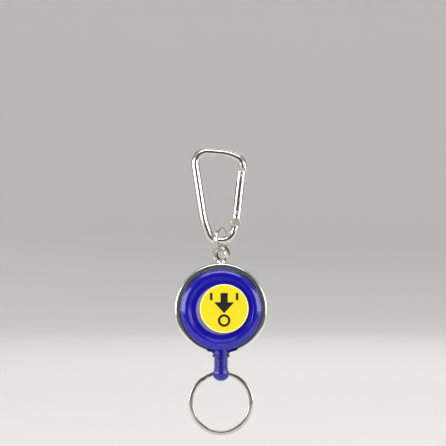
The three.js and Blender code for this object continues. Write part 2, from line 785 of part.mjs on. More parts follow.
function spool() {
  const cup = drumRadius - DRUM_WALL;
  const profile = [
    [hubHole, spoolFront],
    [flangeRadius, spoolFront],
    [flangeRadius, spoolFront + FLANGE_THICKNESS],
    [drumRadius, spoolFront + FLANGE_THICKNESS],
    [drumRadius, spoolBack - FLANGE_THICKNESS],
    [flangeRadius, spoolBack - FLANGE_THICKNESS],
    [flangeRadius, spoolBack],
    [cup, spoolBack],
    [cup, spoolFront + FLANGE_THICKNESS],
    [hubHole, spoolFront + FLANGE_THICKNESS],
  ];
  return inCase(turnedAboutY(profile, 40));
}

function springCover() {
  const rim = drumRadius - DRUM_WALL - RUNNING_GAP;
  const front = spoolBack - COVER_THICKNESS - COVER_RECESS;
  const profile = [
    [hubHole, front],
    [rim, front],
    [rim, front + COVER_THICKNESS],
    [hubHole, front + COVER_THICKNESS],
  ];
  return inCase(turnedAboutY(profile, 28));
}

function mainspring() {
  const front = spoolFront + FLANGE_THICKNESS + RUNNING_GAP;
  const back = spoolBack - COVER_THICKNESS - COVER_RECESS - RUNNING_GAP;
  const inner = hubHole + MAINSPRING_HUB_GAP;
  const outer = drumRadius - DRUM_WALL - RUNNING_GAP - MAINSPRING_STRIP;
  const middle = (front + back) / 2;
  const spiral = new CurveByFunction((t) => {
    const angle = 2 * Math.PI * MAINSPRING_TURNS * t + Math.PI / 2;
    const radius = inner + (outer - inner) * t;
    return [radius * Math.cos(angle), middle, radius * Math.sin(angle)];
  });
  const strip = rectangle(back - front, MAINSPRING_STRIP);
  return inCase(sweep(strip, spiral, MAINSPRING_TURNS * 18));
}

function cordWinding() {
  const front = spoolFront + FLANGE_THICKNESS + RUNNING_GAP;
  const back = spoolBack - FLANGE_THICKNESS - RUNNING_GAP;
  const round = CORD_DIAMETER / 2;
  const profile = [
    [windingInner, front],
    [windingOuter - round, front],
    [windingOuter, front + round],
    [windingOuter, back - round],
    [windingOuter - round, back],
    [windingInner, back],
  ];
  return inCase(turnedAboutY(profile, 36));
}

// The run of cord from the winding, off at a tangent, to the spout's mouth.
function cordLead() {
  const off = windingOuter + CORD_DIAMETER / 2 + RUNNING_GAP;
  const route = new THREE.CatmullRomCurve3([
    new THREE.Vector3(off * Math.sin(LEAD_ANGLE), 0, -off * Math.cos(LEAD_ANGLE)),
    ...LEAD_POINTS.map(([x, height]) => new THREE.Vector3(x, 0, height - shellInner)),
    new THREE.Vector3(0, 0, spoutEndZ - caseZ + LEAD_END),
  ]);
  return inCase(sweep(polygonOf(8, CORD_DIAMETER / 2), route, 16));
}

// ------------------------------------------------------- pull grip and key ring

function pullGrip() {
  const radius = NECK_DIAMETER / 2;
  const groove = radius - RIB_DEPTH;
  const pitch = NECK_LENGTH / RIB_COUNT;
  const ribs = [];
  for (let i = 0; i < RIB_COUNT; i += 1) {
    const top = gripTopZ - i * pitch;
    const foot = top - RIB_SHARE * pitch;
    const next = top - pitch;
    ribs.push([radius, top], [radius, foot]);
    ribs.push([groove, foot - RIB_SLOPE * pitch], [groove, next + RIB_SLOPE * pitch]);
  }
  const collar = COLLAR_DIAMETER / 2;
  const ballHalf = BALL_HEIGHT / 2;
  const seam = Math.asin(BALL_DROP / ballHalf);
  const ball = arcPoints(0, ballZ, BALL_DIAMETER / 2, ballHalf, seam, -Math.PI / 2, 7);
  const profile = [
    [0, gripTopZ],
    ...ribs,
    [collar, collarTopZ],
    [collar, collarTopZ - COLLAR_HEIGHT],
    ...ball.slice(0, -1),
    [0, ballZ - ballHalf],
  ];
  const cordHole = rodAlongZ(2 * cordBoreRadius, knotZ, gripTopZ + CUT_PAST, 12);
  const chamberTop = knotZ + KNOT_DIAMETER / 2 + RUNNING_GAP;
  const chamber = rodAlongZ(KNOT_DIAMETER + 2 * KNOT_GAP, ballZ, chamberTop, 12);
  const ringHole = rodAlongY(BALL_HOLE, BALL_DIAMETER + CUT_PAST, 20).rotateZ(Math.PI / 2);
  return toSolid(turnedAboutZ(profile, 22))
    .subtract(toSolid(cordHole))
    .subtract(toSolid(chamber))
    .subtract(toSolid(ringHole.translate(0, 0, ballZ)));
}

// The knot that holds the cord in the grip, with the cord's end above it.
function cordKnot() {
  const knot = new THREE.SphereGeometry(KNOT_DIAMETER / 2, 12, 8).rotateX(Math.PI / 2);
  const tail = rodAlongZ(CORD_DIAMETER, knotZ, gripTopZ - TAIL_END, 8);
  return toSolid(knot.translate(0, 0, knotZ)).add(toSolid(tail));
}

function keyRing() {
  const ring = splitRing(
    KEY_RING_DIAMETER,
    KEY_RING_WIRE_WIDTH,
    KEY_RING_COIL_THICKNESS,
    KEY_RING_COIL_GAP,
    KEY_RING_SPLIT,
    88
  );
  return toSolid(ring.translate(0, 0, ballZ - keyRingMiddleRadius));
}

// -------------------------------------------------------------------- assembly

const group = new THREE.Group();
group.add(
  toMesh("carabiner_body", carabinerBody(), polishedNickel),
  toMesh("carabiner_gate", carabinerGate(), polishedNickel),
  toMesh("gate_hinge_pin", rivet(HINGE_PIN_DIAMETER, 0), polishedNickel),
  toMesh("gate_latch_pin", rivet(LATCH_PIN_DIAMETER, latchHeight), polishedNickel),
  toMesh("gate_spring", gateSpring(), springSteel),
  toMesh("gate_plunger", gatePlunger(), springSteel),
  toMesh("link_ring", linkRing(), polishedNickel),
  toMesh("swivel_eye", swivelEye(), polishedNickel),
  toMesh("swivel_washer", swivelWasher(), springSteel),
  toMesh("trim_band", trimBand(), chrome),
  toMesh("front_shell", frontShell(), bluePlastic),
  toMesh("back_shell", backShell(), bluePlastic),
  toMesh("label_disc", labelDisc(), labelPaper),
  toMesh("spool", spool(), whitePlastic),
  toMesh("spring_cover", springCover(), whitePlastic),
  toMesh("mainspring", mainspring(), springSteel),
  toMesh("cord_winding", cordWinding(), nylonCord),
  toMesh("cord_lead", cordLead(), nylonCord),
  toMesh("cord_knot", cordKnot(), nylonCord),
  toMesh("pull_grip", pullGrip(), bluePlastic),
  toMesh("key_ring", keyRing(), polishedNickel)
);

export default group;
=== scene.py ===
import math

import bmesh
import bpy
from mathutils import Matrix, Vector


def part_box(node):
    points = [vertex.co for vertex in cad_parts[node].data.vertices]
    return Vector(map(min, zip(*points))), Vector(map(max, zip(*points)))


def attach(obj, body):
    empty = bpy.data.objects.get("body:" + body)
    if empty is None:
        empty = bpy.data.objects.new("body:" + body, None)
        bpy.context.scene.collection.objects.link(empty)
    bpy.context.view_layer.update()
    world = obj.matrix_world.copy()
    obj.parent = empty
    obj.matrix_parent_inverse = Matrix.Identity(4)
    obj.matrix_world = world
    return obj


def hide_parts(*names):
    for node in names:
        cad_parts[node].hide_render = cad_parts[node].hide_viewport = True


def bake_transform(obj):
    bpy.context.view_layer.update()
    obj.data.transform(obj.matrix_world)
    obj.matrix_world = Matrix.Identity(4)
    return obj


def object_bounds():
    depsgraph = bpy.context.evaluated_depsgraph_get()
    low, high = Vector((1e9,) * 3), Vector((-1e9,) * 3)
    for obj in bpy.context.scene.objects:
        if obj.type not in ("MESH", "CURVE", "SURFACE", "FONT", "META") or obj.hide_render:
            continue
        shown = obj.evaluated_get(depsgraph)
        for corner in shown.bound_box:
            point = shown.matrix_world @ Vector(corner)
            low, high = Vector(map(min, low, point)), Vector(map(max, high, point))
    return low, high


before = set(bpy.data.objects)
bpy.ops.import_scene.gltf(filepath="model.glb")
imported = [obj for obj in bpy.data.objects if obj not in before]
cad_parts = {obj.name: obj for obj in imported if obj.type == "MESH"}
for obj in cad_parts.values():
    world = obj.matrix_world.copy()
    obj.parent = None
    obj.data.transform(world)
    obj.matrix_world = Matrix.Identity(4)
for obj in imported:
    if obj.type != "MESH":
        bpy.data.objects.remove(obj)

cad_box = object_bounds()

# ---- camera
# The reel hangs upright, and the camera looks level at its front through a
# long lens. The picture is 155 mm wide at the reel.
CAMERA_DISTANCE = 0.6
VIEW_WIDTH = 0.1552
CAMERA_X = 0.0007
CAMERA_Z = -0.0232

camera_data = bpy.data.cameras.new("camera")
camera_data.lens = camera_data.sensor_width * CAMERA_DISTANCE / VIEW_WIDTH
camera_data.clip_start = 0.01
camera = bpy.data.objects.new("camera", camera_data)
camera.location = (CAMERA_X, -CAMERA_DISTANCE, CAMERA_Z)
camera.rotation_euler = (math.radians(90), 0, 0)
bpy.context.collection.objects.link(camera)
bpy.context.scene.camera = camera


# ---- cord from the spool
# A braided nylon cord 0.9 mm thick. It leaves the winding at a tangent, turns
# down through the spout, and ends in a knot inside the pull grip.
MM = 0.001
CORD_THICKNESS = 0.9
CORD_SIDES = 16
KNOT_SIZE = 1.9
CORD_ROUTE = [(7.3, -8.69), (3.9, -11.35), (1.1, -13.25), (0.1, -14.75), (0.0, -16.45), (0.0, -17.2)]


def span(node):
    """Lowest corner, middle and highest corner of a CAD node, in millimetres."""
    low, high = (Vector(corner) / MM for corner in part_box(node))
    return low, (low + high) / 2, high


def half_size(node, axis):
    """Half the size of a CAD node along an axis, in millimetres."""
    low, _, high = span(node)
    return (getattr(high, axis) - getattr(low, axis)) / 2


def colour(hexadecimal):
    """Linear colour from an sRGB hex value."""
    parts = [int(hexadecimal[i:i + 2], 16) / 255 for i in (1, 3, 5)]
    return tuple(c / 12.92 if c <= 0.04045 else ((c + 0.055) / 1.055) ** 2.4 for c in parts) + (1.0,)


def add_node(tree, kind, inputs=None, **settings):
    """Adds a shader node; an input that is a socket is linked, and any other is its value."""
    made = tree.nodes.new("ShaderNode" + kind)
    for name, value in settings.items():
        setattr(made, name, value)
    for name, value in (inputs or {}).items():
        if isinstance(value, bpy.types.NodeSocket):
            tree.links.new(value, made.inputs[name])
        else:
            made.inputs[name].default_value = value
    return made


def new_material(name, **values):
    """A material, its node tree and its Principled node with these values set."""
    material = bpy.data.materials.new(name)
    material.use_nodes = True
    principled = material.node_tree.nodes["Principled BSDF"]
    for socket, value in values.items():
        principled.inputs[socket.replace("_", " ")].default_value = value
    return material, material.node_tree, principled


def noise(tree, grain, detail, stretch=(1.0, 1.0, 1.0), **inputs):
    """The value of a noise texture in Object coordinates, with patches about this many millimetres across."""
    place = add_node(tree, "TexCoord").outputs["Object"]
    if min(stretch) < 1:
        place = add_node(tree, "Mapping", {"Vector": place, "Scale": stretch}).outputs[0]
    values = {"Vector": place, "Scale": 1 / (grain * MM), "Detail": detail, **inputs}
    return add_node(tree, "TexNoise", values).outputs[0]


def emboss(tree, principled, height, strength, depth, **inputs):
    """Bumps a surface by a texture's value, at most this many millimetres deep."""
    values = {"Height": height, "Strength": strength, "Distance": depth * MM, **inputs}
    tree.links.new(add_node(tree, "Bump", values).outputs[0], principled.inputs["Normal"])


def two_tones(tree, principled, share, first, second):
    """Colours a surface between two sRGB hex values by a texture's value."""
    tint = add_node(tree, "Mix", {0: share, 6: colour(first), 7: colour(second)}, data_type="RGBA")
    tree.links.new(tint.outputs[2], principled.inputs["Base Color"])


def vary_roughness(tree, principled, value, low, high, reach=(0.3, 0.7)):
    """Varies the roughness from low to high as a texture's value crosses its reach."""
    values = {"Value": value, "From Min": reach[0], "From Max": reach[1], "To Min": low, "To Max": high}
    tree.links.new(add_node(tree, "MapRange", values).outputs[0], principled.inputs["Roughness"])


def braided_nylon():
    """Two sets of strands wound opposite ways round the cord, 1.1 mm apart along it. Its colour carries
    painted shade in the gaps between strands and is painted lighter on their crests.
    """
    material, tree, principled = new_material(
        "braided_nylon", Base_Color=colour("#1b1b20"), Roughness=0.62, Sheen_Weight=0.35, Sheen_Roughness=0.4)
    place = add_node(tree, "TexCoord").outputs["Object"]
    axes = add_node(tree, "SeparateXYZ", {"Vector": place})
    turn = add_node(tree, "Math", {0: axes.outputs["X"], 1: axes.outputs["Y"]}, operation="ARCTAN2")
    around = add_node(tree, "Math", {0: turn.outputs[0], 1: 4.0}, operation="MULTIPLY")
    along = add_node(tree, "Math", {0: axes.outputs["Z"], 1: 2 * math.pi / (1.1 * MM)}, operation="MULTIPLY")
    strands = []
    for operation in ("ADD", "SUBTRACT"):
        phase = add_node(tree, "Math", {0: along.outputs[0], 1: around.outputs[0]}, operation=operation)
        strands.append(add_node(tree, "Math", {0: phase.outputs[0]}, operation="SINE").outputs[0])
    braid = add_node(tree, "Math", {0: strands[0], 1: strands[1]}, operation="MAXIMUM")
    emboss(tree, principled, braid.outputs[0], 0.7, 0.08)
    # Painted shade: the base colour follows the braid's height, darker in the gaps between strands and
    # lighter on the strands' crests.
    shade = add_node(tree, "MapRange", {"Value": braid.outputs[0], "From Min": -0.4, "From Max": 1.0,
                                        "To Min": 0.35, "To Max": 1.25})
    tint = add_node(tree, "Mix", {0: 1.0, 6: colour("#1f1f25"), 7: shade.outputs[0]},
                    data_type="RGBA", blend_type="MULTIPLY")
    tree.links.new(tint.outputs[2], principled.inputs["Base Color"])
    return material


def station(place, across, along, width=1.0, thickness=1.0):
    """Where a section goes: its X is spread across, its Y sideways, and it faces along."""
    side = along.cross(across)
    turn = Matrix((across * width, side * thickness, along)).transposed()
    return Matrix.Translation(place) @ turn.to_4x4()


def sweep(bm, ring, stations):
    """Extrudes a ring of edges, drawn round the origin, from station to station and closes both ends."""
    corners = list({corner for edge in ring for corner in edge.verts})
    bmesh.ops.transform(bm, matrix=stations[0], verts=corners)
    first = ring
    for before, after in zip(stations, stations[1:]):
        made = bmesh.ops.extrude_edge_only(bm, edges=ring)["geom"]
        corners = [item for item in made if isinstance(item, bmesh.types.BMVert)]
        ring = [edge for edge in made if isinstance(edge, bmesh.types.BMEdge)
                and all(corner in corners for corner in edge.verts)]
        bmesh.ops.transform(bm, matrix=after @ before.inverted(), verts=corners)
    for end in (first, ring):
        bmesh.ops.contextual_create(bm, geom=end)


def round_section(bm, radius, sides):
    """A ring of edges round the origin."""
    made = bmesh.ops.create_circle(bm, segments=sides, radius=radius)["verts"]
    return list({edge for corner in made for edge in corner.link_edges})


def smooth_line(points, steps):
    """Points on a smooth curve through the given ones, and the way it runs at each."""
    given = [2 * points[0] - points[1], *points, 2 * points[-1] - points[-2]]
    places = []
    for before, start, end, after in zip(given, given[1:], given[2:], given[3:]):
        for step in range(steps):
            t = step / steps
            place = 2 * start + (end - before) * t + (2 * before - 5 * start + 4 * end - after) * t ** 2
            places.append((place + (3 * start - before - 3 * end + after) * t ** 3) / 2)
    places.append(points[-1])
    ways = [(after - before).normalized() for before, after in
            zip([places[0], *places], [*places[1:], places[-1]])]
    return list(zip(places, ways))


def new_object(name, bm):
    """An object from a bmesh, which is used up."""
    mesh = bpy.data.meshes.new(name)
    bm.to_mesh(mesh)
    bm.free()
    made = bpy.data.objects.new(name, mesh)
    bpy.context.collection.objects.link(made)
    return made


def new_piece(name, bm):
    """An object from a bmesh, in millimetres, with its faces pointing outwards."""
    bmesh.ops.recalc_face_normals(bm, faces=bm.faces)
    return new_object(name, bm)


def settle(piece, material, slot, *nodes, body=None, sharp=35):
    """Brings a piece to metres, gives it its finish, and lets it ride in place of its CAD nodes."""
    piece.data.transform(Matrix.Scale(MM, 4))
    piece.data.materials.clear()
    piece.data.materials.append(material)
    piece.data.shade_smooth()
    piece.data.set_sharp_from_angle(angle=math.radians(sharp))
    if body:
        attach(piece, body)
    if nodes:
        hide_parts(*nodes)


case_middle = span("trim_band")[1]
case_middle.z = span("spool")[1].z
case_middle.y = 0
spout_end = span("front_shell")[0].z
grip_top = span("pull_grip")[2].z
knot_place = Vector((0, 0, span("cord_knot")[0].z + KNOT_SIZE / 2))

cord_points = [case_middle + Vector((x, 0, z)) for x, z in CORD_ROUTE]
cord_points[-2].z = spout_end + 0.1
cord_points[-1].z = grip_top - 0.1
cord_points.append(knot_place + Vector((0, 0, KNOT_SIZE / 2)))
cord_points.append(knot_place)
sideways = Vector((0, 1, 0))
cord_mesh = bmesh.new()
cord_ring = round_section(cord_mesh, CORD_THICKNESS / 2, CORD_SIDES)
sweep(cord_mesh, cord_ring, [station(place, way.cross(sideways), way)
                             for place, way in smooth_line(cord_points, 6)])
bmesh.ops.create_uvsphere(cord_mesh, u_segments=20, v_segments=12, radius=KNOT_SIZE / 2,
                          matrix=Matrix.Translation(knot_place))
nylon = braided_nylon()
cord_run = new_piece("cord_run", cord_mesh)
settle(cord_run, nylon, "nylon_cord", "cord_lead", "cord_knot")
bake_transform(cord_run)


# ---- cord on the spool
# The rest of the 65 cm of cord: eleven turns in three layers, four turns side
# by side in each, wound tight on the drum.
LAYER_RADII = (8.25, 9.1, 9.95)
TURNS_A_LAYER = 4
CORD_TURNS = 11.2
STEPS_A_TURN = 28
LAYER_CLIMB = 0.4

winding_low, winding_middle, winding_high = span("cord_winding")
winding_half = (winding_high.y - winding_low.y - CORD_THICKNESS) / 2

winding_mesh = bmesh.new()
winding_ring = round_section(winding_mesh, CORD_THICKNESS / 2, 8)
winding_stations = []
top_layer = len(LAYER_RADII) - 1
for step in range(int(CORD_TURNS * STEPS_A_TURN) + 1):
    turns = step / STEPS_A_TURN
    layer = min(int(turns / TURNS_A_LAYER), top_layer)
    through = turns - layer * TURNS_A_LAYER
    rise = min(max((through - TURNS_A_LAYER + LAYER_CLIMB / 2) / LAYER_CLIMB, 0), 1)
    fall = min(max((LAYER_CLIMB / 2 - through) / LAYER_CLIMB, 0), 1)
    radius = LAYER_RADII[layer]
    above = LAYER_RADII[min(layer + 1, top_layer)]
    below = LAYER_RADII[max(layer - 1, 0)]
    radius += rise * (above - radius) + fall * (below - radius)
    swing = winding_half * (2 * through / TURNS_A_LAYER - 1) * (1 if layer % 2 else -1)
    angle = 2 * math.pi * turns
    outward = Vector((math.cos(angle), 0, -math.sin(angle)))
    along = Vector((-math.sin(angle), 0, -math.cos(angle)))
    place = winding_middle + outward * radius + Vector((0, swing, 0))
    winding_stations.append(station(place, outward, along))
sweep(winding_mesh, winding_ring, winding_stations)
cord_on_spool = new_piece("cord_on_spool", winding_mesh)
settle(cord_on_spool, nylon, "nylon_cord", "cord_winding", body="spool", sharp=80)


# ---- carabiner bar
# A round steel bar bent into a pear shape and plated with bright nickel. Both
# ends are pressed flat: one into the gate's hinge tongue, one into a hook that
# holds the gate's latch rivet.
BAR_DIAMETER = 2.8
BAR_INSET = 0.06
BAR_END_LENGTH = 0.35
BAR_END_TAPER = 0.25
BAR_END_STEP = 22
BAR_CORNERS = [
    (7.8, -3.95, 0), (6.95, -0.95, 3.2), (2.5, 1.06, 14), (-9.73, 2.04, 4.2),
    (-6.0, -22.3, 20), (-3.38, -29.3, 3), (3.38, -29.3, 4), (5.09, -24.2, 0),
]
TONGUE_THICKNESS = 1.0
HINGE_TONGUE_RADIUS = 1.15
HINGE_TONGUE_WIDTH = 3.5
HOOK_DEPTH = 0.85
HOOK_NECK = 2.0
PLATE_EDGE = 0.12
PIN_GAP = 0.25
LATCH_GAP = 0.3
GATE_BELOW_HINGE = 2.15
GATE_ABOVE_LATCH = 1.55


def bright_nickel():
    """Nickel plate on drawn steel: mirror-bright and faintly warm, with soft waves and hairline rubs."""
    material, tree, principled = new_material(
        "bright_nickel_plate", Base_Color=colour("#dedad2"), Metallic=1.0, Roughness=0.12)
    cloud = noise(tree, 2.5, 4.0)
    vary_roughness(tree, principled, cloud, 0.07, 0.2, (0.3, 0.75))
    two_tones(tree, principled, cloud, "#e6e3dc", "#cfcac0")
    wave = noise(tree, 1.6, 1.0)
    rub = noise(tree, 0.12, 2.0, stretch=(1.0, 1.0, 0.12))
    soft = add_node(tree, "Bump", {"Height": wave, "Strength": 0.35, "Distance": 0.03 * MM})
    emboss(tree, principled, rub, 0.05, 0.01, Normal=soft.outputs[0])
    return material


def pressed_nickel():
    """Nickel plate over press marks: satin and finely dimpled, so that its flats stay pale."""
    material, tree, principled = new_material(
        "pressed_nickel_plate", Base_Color=colour("#cfcbc2"), Metallic=1.0, Roughness=0.42)
    dimples = noise(tree, 0.35, 3.0)
    vary_roughness(tree, principled, dimples, 0.34, 0.55)
    emboss(tree, principled, dimples, 0.6, 0.06)
    return material


def bent_line(corners, arc_step):
    """Points on a line whose corners are rounded, in the XZ plane, and the way it runs at each."""
    places = [Vector((x, 0, z)) for x, z, _ in corners]
    line = [(places[0], (places[1] - places[0]).normalized())]
    for i in range(1, len(corners) - 1):
        radius = corners[i][2]
        back = (places[i - 1] - places[i]).normalized()
        ahead = (places[i + 1] - places[i]).normalized()
        half = back.angle(ahead) / 2
        centre = places[i] + (back + ahead).normalized() * radius / math.sin(half)
        start = places[i] + back * radius / math.tan(half)
        spoke = start - centre
        axis = back.cross(spoke).normalized()
        turn = math.pi - 2 * half
        steps = max(2, math.ceil(turn / arc_step))
        for step in range(steps + 1):
            rotation = Matrix.Rotation(turn * step / steps, 3, axis)
            line.append((centre + rotation @ spoke, rotation @ -back))
    line.append((places[-1], (places[-1] - places[-2]).normalized()))
    return line


def plate(outline, thickness, edge):
    """A flat plate in the XZ plane with softened edges, as an object."""
    bm = bmesh.new()
    corners = [bm.verts.new((x, -thickness / 2, z)) for x, z in outline]
    face = bm.faces.new(corners)
    made = bmesh.ops.extrude_face_region(bm, geom=[face])["geom"]
    moved = [item for item in made if isinstance(item, bmesh.types.BMVert)]
    bmesh.ops.translate(bm, vec=(0, thickness, 0), verts=moved)
    rims = [e for e in bm.edges if abs(e.verts[0].co.y - e.verts[1].co.y) < 1e-6]
    bmesh.ops.bevel(bm, geom=rims, offset=edge, offset_type="OFFSET", segments=3, profile=0.5,
                    affect="EDGES", material=-1)
    return new_piece("plate", bm)


def apply_modifiers(piece):
    """Makes what a piece's modifiers give into its mesh."""
    bpy.context.view_layer.update()
    ready = piece.evaluated_get(bpy.context.evaluated_depsgraph_get())
    mesh = bpy.data.meshes.new_from_object(ready)
    piece.modifiers.clear()
    piece.data = mesh


def combine(piece, operation, *tools):
    """Joins or cuts a piece with other objects, which are used up."""
    for tool in tools:
        modifier = piece.modifiers.new("combine", "BOOLEAN")
        modifier.operation = operation
        modifier.solver = "EXACT"
        modifier.object = tool
    apply_modifiers(piece)
    for tool in tools:
        bpy.data.objects.remove(tool)
    return piece


def soften(piece, width):
    """Rounds the sharp edges of a piece a little, as polishing does."""
    bevel = piece.modifiers.new("soften", "BEVEL")
    bevel.width = width
    bevel.segments = 2
    bevel.limit_method = "ANGLE"
    bevel.angle_limit = math.radians(40)
    apply_modifiers(piece)


def rod(radius, start, end, sides=48):
    """A plain round rod from start to end, as an object."""
    bm = bmesh.new()
    way = (end - start).normalized()
    turn = way.to_track_quat("Z", "Y").to_matrix().to_4x4()
    bmesh.ops.create_cone(bm, cap_ends=True, segments=sides, radius1=radius, radius2=radius,
                          depth=(end - start).length, matrix=Matrix.Translation((start + end) / 2) @ turn)
    return new_piece("rod", bm)


def arc(centre_r, centre_h, a, b, start, end, steps):
    """Points on an ellipse from angle start to end, in degrees, as (radius, height)."""
    angles = [math.radians(start + (end - start) * step / steps) for step in range(steps + 1)]
    return [(centre_r + a * math.cos(angle), centre_h + b * math.sin(angle)) for angle in angles]


hinge_pin = span("gate_hinge_pin")[1]
latch_pin = span("gate_latch_pin")[1]
pin_line = latch_pin - hinge_pin
latch_height = pin_line.length
gate_lean = math.atan2(pin_line.x, pin_line.z)
on_gate_line = Matrix.Translation(hinge_pin) @ Matrix.Rotation(gate_lean, 4, "Y")
gate_radius = half_size("carabiner_gate", "y")
gate_bottom = -GATE_BELOW_HINGE
gate_top = latch_height + GATE_ABOVE_LATCH
hinge_pin_radius = half_size("gate_hinge_pin", "x")
latch_pin_radius = half_size("gate_latch_pin", "x")

bar_radius = BAR_DIAMETER / 2 - BAR_INSET
bar_line = bent_line(BAR_CORNERS, math.radians(4))
bar_stations = [station(place, way.cross(sideways), way) for place, way in bar_line]
for end, sign in ((0, -1), (-1, 1)):
    place, way = bar_line[end]
    caps = []
    for step in range(1, 5):
        angle = math.radians(BAR_END_STEP * step)
        size = 1 - BAR_END_TAPER * (1 - math.cos(angle))
        end_place = place + way * sign * BAR_END_LENGTH * math.sin(angle)
        caps.append(station(end_place, way.cross(sideways), way, size, size))
    bar_stations = caps[::-1] + bar_stations if end == 0 else bar_stations + caps
bar_mesh = bmesh.new()
bar_ring = round_section(bar_mesh, bar_radius, 40)
sweep(bar_mesh, bar_ring, bar_stations)
bar = new_piece("carabiner_bar", bar_mesh)

head = HINGE_TONGUE_RADIUS
wide = HINGE_TONGUE_WIDTH / 2
shoulder = gate_bottom - 0.3
hinge_outline = arc(0, 0, head, head, 0, 180, 20) + [
    (-head, shoulder), (-wide + 0.1, shoulder - 0.4), (-wide, shoulder - 0.6), (-wide, shoulder - 1.3),
    (-bar_radius * 0.8, shoulder - 2.6), (bar_radius * 0.8, shoulder - 2.6), (wide, shoulder - 1.3),
    (wide, shoulder - 0.6), (wide - 0.1, shoulder - 0.4), (head, shoulder)]
notch = latch_pin_radius + LATCH_GAP
hook_outer = gate_radius - 0.05
barb_top = latch_height - notch
barb_bottom = barb_top - HOOK_DEPTH
hook_top = gate_top + HOOK_NECK
hook_outline = [
    (hook_outer, barb_bottom + 0.3), (hook_outer, hook_top), (hook_outer - 1.2, hook_top),
    (notch, gate_top + 0.9), (notch, barb_top), (-0.55, barb_top), (-0.55, barb_bottom + 0.2),
    (-0.3, barb_bottom), (hook_outer - 0.3, barb_bottom)]
tongue = plate(hinge_outline, TONGUE_THICKNESS, PLATE_EDGE)
hook = plate(hook_outline, TONGUE_THICKNESS, PLATE_EDGE)
pin_hole = rod(hinge_pin_radius + PIN_GAP, Vector((0, -2, 0)), Vector((0, 2, 0)))
for tool in (tongue, hook, pin_hole):
    tool.data.transform(on_gate_line)
combine(bar, "UNION", tongue, hook)
combine(bar, "DIFFERENCE", pin_hole)
nickel = bright_nickel()
settle(bar, nickel, "polished_nickel", "carabiner_body", body="carabiner")
bar.data.materials.append(pressed_nickel())
for face in bar.data.polygons:
    if abs(face.normal.y) > 0.98 and abs(face.center.y) < 0.6 * TONGUE_THICKNESS * MM:
        face.material_index = 1


# ---- carabiner gate
# A nickel-plated tube, slotted at both ends for the bar's tongue and hook and
# bored for its return spring. Two rivets with low domed heads cross the slots.
GATE_BORE = 1.7
GATE_EDGE = 0.22
SLOT_WIDTH = 1.5
FLAT_MARGIN = 0.06
RIVET_STAND = 0.05
RIVET_DOME = 0.16


def turned(profile, axis, steps, name="turned", start=0, sweep_angle=360):
    """A solid turned about Y or Z. Profile points are (radius, height), with a corner radius if rounded."""
    bm = bmesh.new()
    up = Vector((0, 1, 0)) if axis == "Y" else Vector((0, 0, 1))
    corners = [bm.verts.new(Vector((point[0], 0, 0)) + up * point[1]) for point in profile]
    for pair in zip(corners, corners[1:]):
        bm.edges.new(pair)
    if profile[0][0] > 0 and profile[-1][0] > 0:
        bm.edges.new((corners[-1], corners[0]))
    rounds = []
    for i, point in enumerate(profile):
        if len(point) > 2:
            before = (corners[i - 1].co - corners[i].co).normalized()
            after = (corners[(i + 1) % len(corners)].co - corners[i].co).normalized()
            rounds.append((corners[i], point[2] / math.tan(before.angle(after) / 2)))
    for corner, reach in rounds:
        bmesh.ops.bevel(bm, geom=[corner], offset=reach, offset_type="OFFSET", segments=5, profile=0.5,
                        affect="VERTICES", material=-1)
    for edge in bm.edges[:]:
        if edge.calc_length() > 4 * FLAT_MARGIN:
            for end in edge.verts[:]:
                bmesh.utils.edge_split(edge, end, FLAT_MARGIN / edge.calc_length())
    bmesh.ops.rotate(bm, cent=(0, 0, 0), matrix=Matrix.Rotation(math.radians(start), 3, up), verts=bm.verts)
    outline = bm.edges[:]
    whole = sweep_angle == 360
    spun = bmesh.ops.spin(bm, geom=bm.verts[:] + outline, cent=(0, 0, 0), axis=up,
                          angle=math.radians(sweep_angle), steps=steps, use_merge=whole)
    if not whole:
        last = [item for item in spun["geom_last"] if isinstance(item, bmesh.types.BMEdge)]
        for end in (outline, last):
            bmesh.ops.contextual_create(bm, geom=end)
    bmesh.ops.remove_doubles(bm, verts=bm.verts, dist=1e-4)
    return new_piece(name, bm)


def block(low, high):
    """A plain block between two corners, as an object."""
    bm = bmesh.new()
    size = Vector(high) - Vector(low)
    middle = (Vector(high) + Vector(low)) / 2
    bmesh.ops.create_cube(bm, size=1, matrix=Matrix.Translation(middle) @ Matrix.Diagonal((*size, 1)))
    return new_piece("block", bm)


slot_floor = latch_height - latch_pin_radius - HOOK_DEPTH - 3 * LATCH_GAP
gate = turned([(0, gate_bottom), (gate_radius, gate_bottom, GATE_EDGE), (gate_radius, gate_top, GATE_EDGE),
               (0, gate_top)], "Z", 48, "gate_tube")
half_slot = SLOT_WIDTH / 2
combine(gate, "DIFFERENCE",
        block((-3, -half_slot, gate_bottom - 1), (3, half_slot, HINGE_TONGUE_RADIUS + 2 * LATCH_GAP)),
        block((-3, -half_slot, slot_floor), (3, half_slot, gate_top + 1)),
        rod(GATE_BORE / 2, Vector((0, 0, 0)), Vector((0, 0, slot_floor - 1.2))),
        rod(hinge_pin_radius + PIN_GAP, Vector((0, -2, 0)), Vector((0, 2, 0))),
        rod(latch_pin_radius + PIN_GAP, Vector((0, -2, latch_height)), Vector((0, 2, latch_height))))
soften(gate, 0.05)
gate.data.transform(on_gate_line)
settle(gate, nickel, "polished_nickel", "carabiner_gate", body="gate")


def rivet(name, radius, height, body, node):
    """A rivet across the gate, peened to a low dome at both ends."""
    reach = gate_radius + RIVET_STAND
    dome = arc(0, reach - RIVET_DOME, radius, RIVET_DOME, 0, 90, 6)
    profile = [(r, -h) for r, h in dome[::-1]] + dome
    profile[0] = (0, -reach)
    profile[-1] = (0, reach)
    piece = turned(profile, "Y", 32, name)
    piece.data.transform(on_gate_line @ Matrix.Translation((0, 0, height)))
    settle(piece, nickel, "polished_nickel", node, body=body)


rivet("hinge_rivet", hinge_pin_radius, 0, "carabiner", "gate_hinge_pin")
rivet("latch_rivet", latch_pin_radius, latch_height, "gate", "gate_latch_pin")


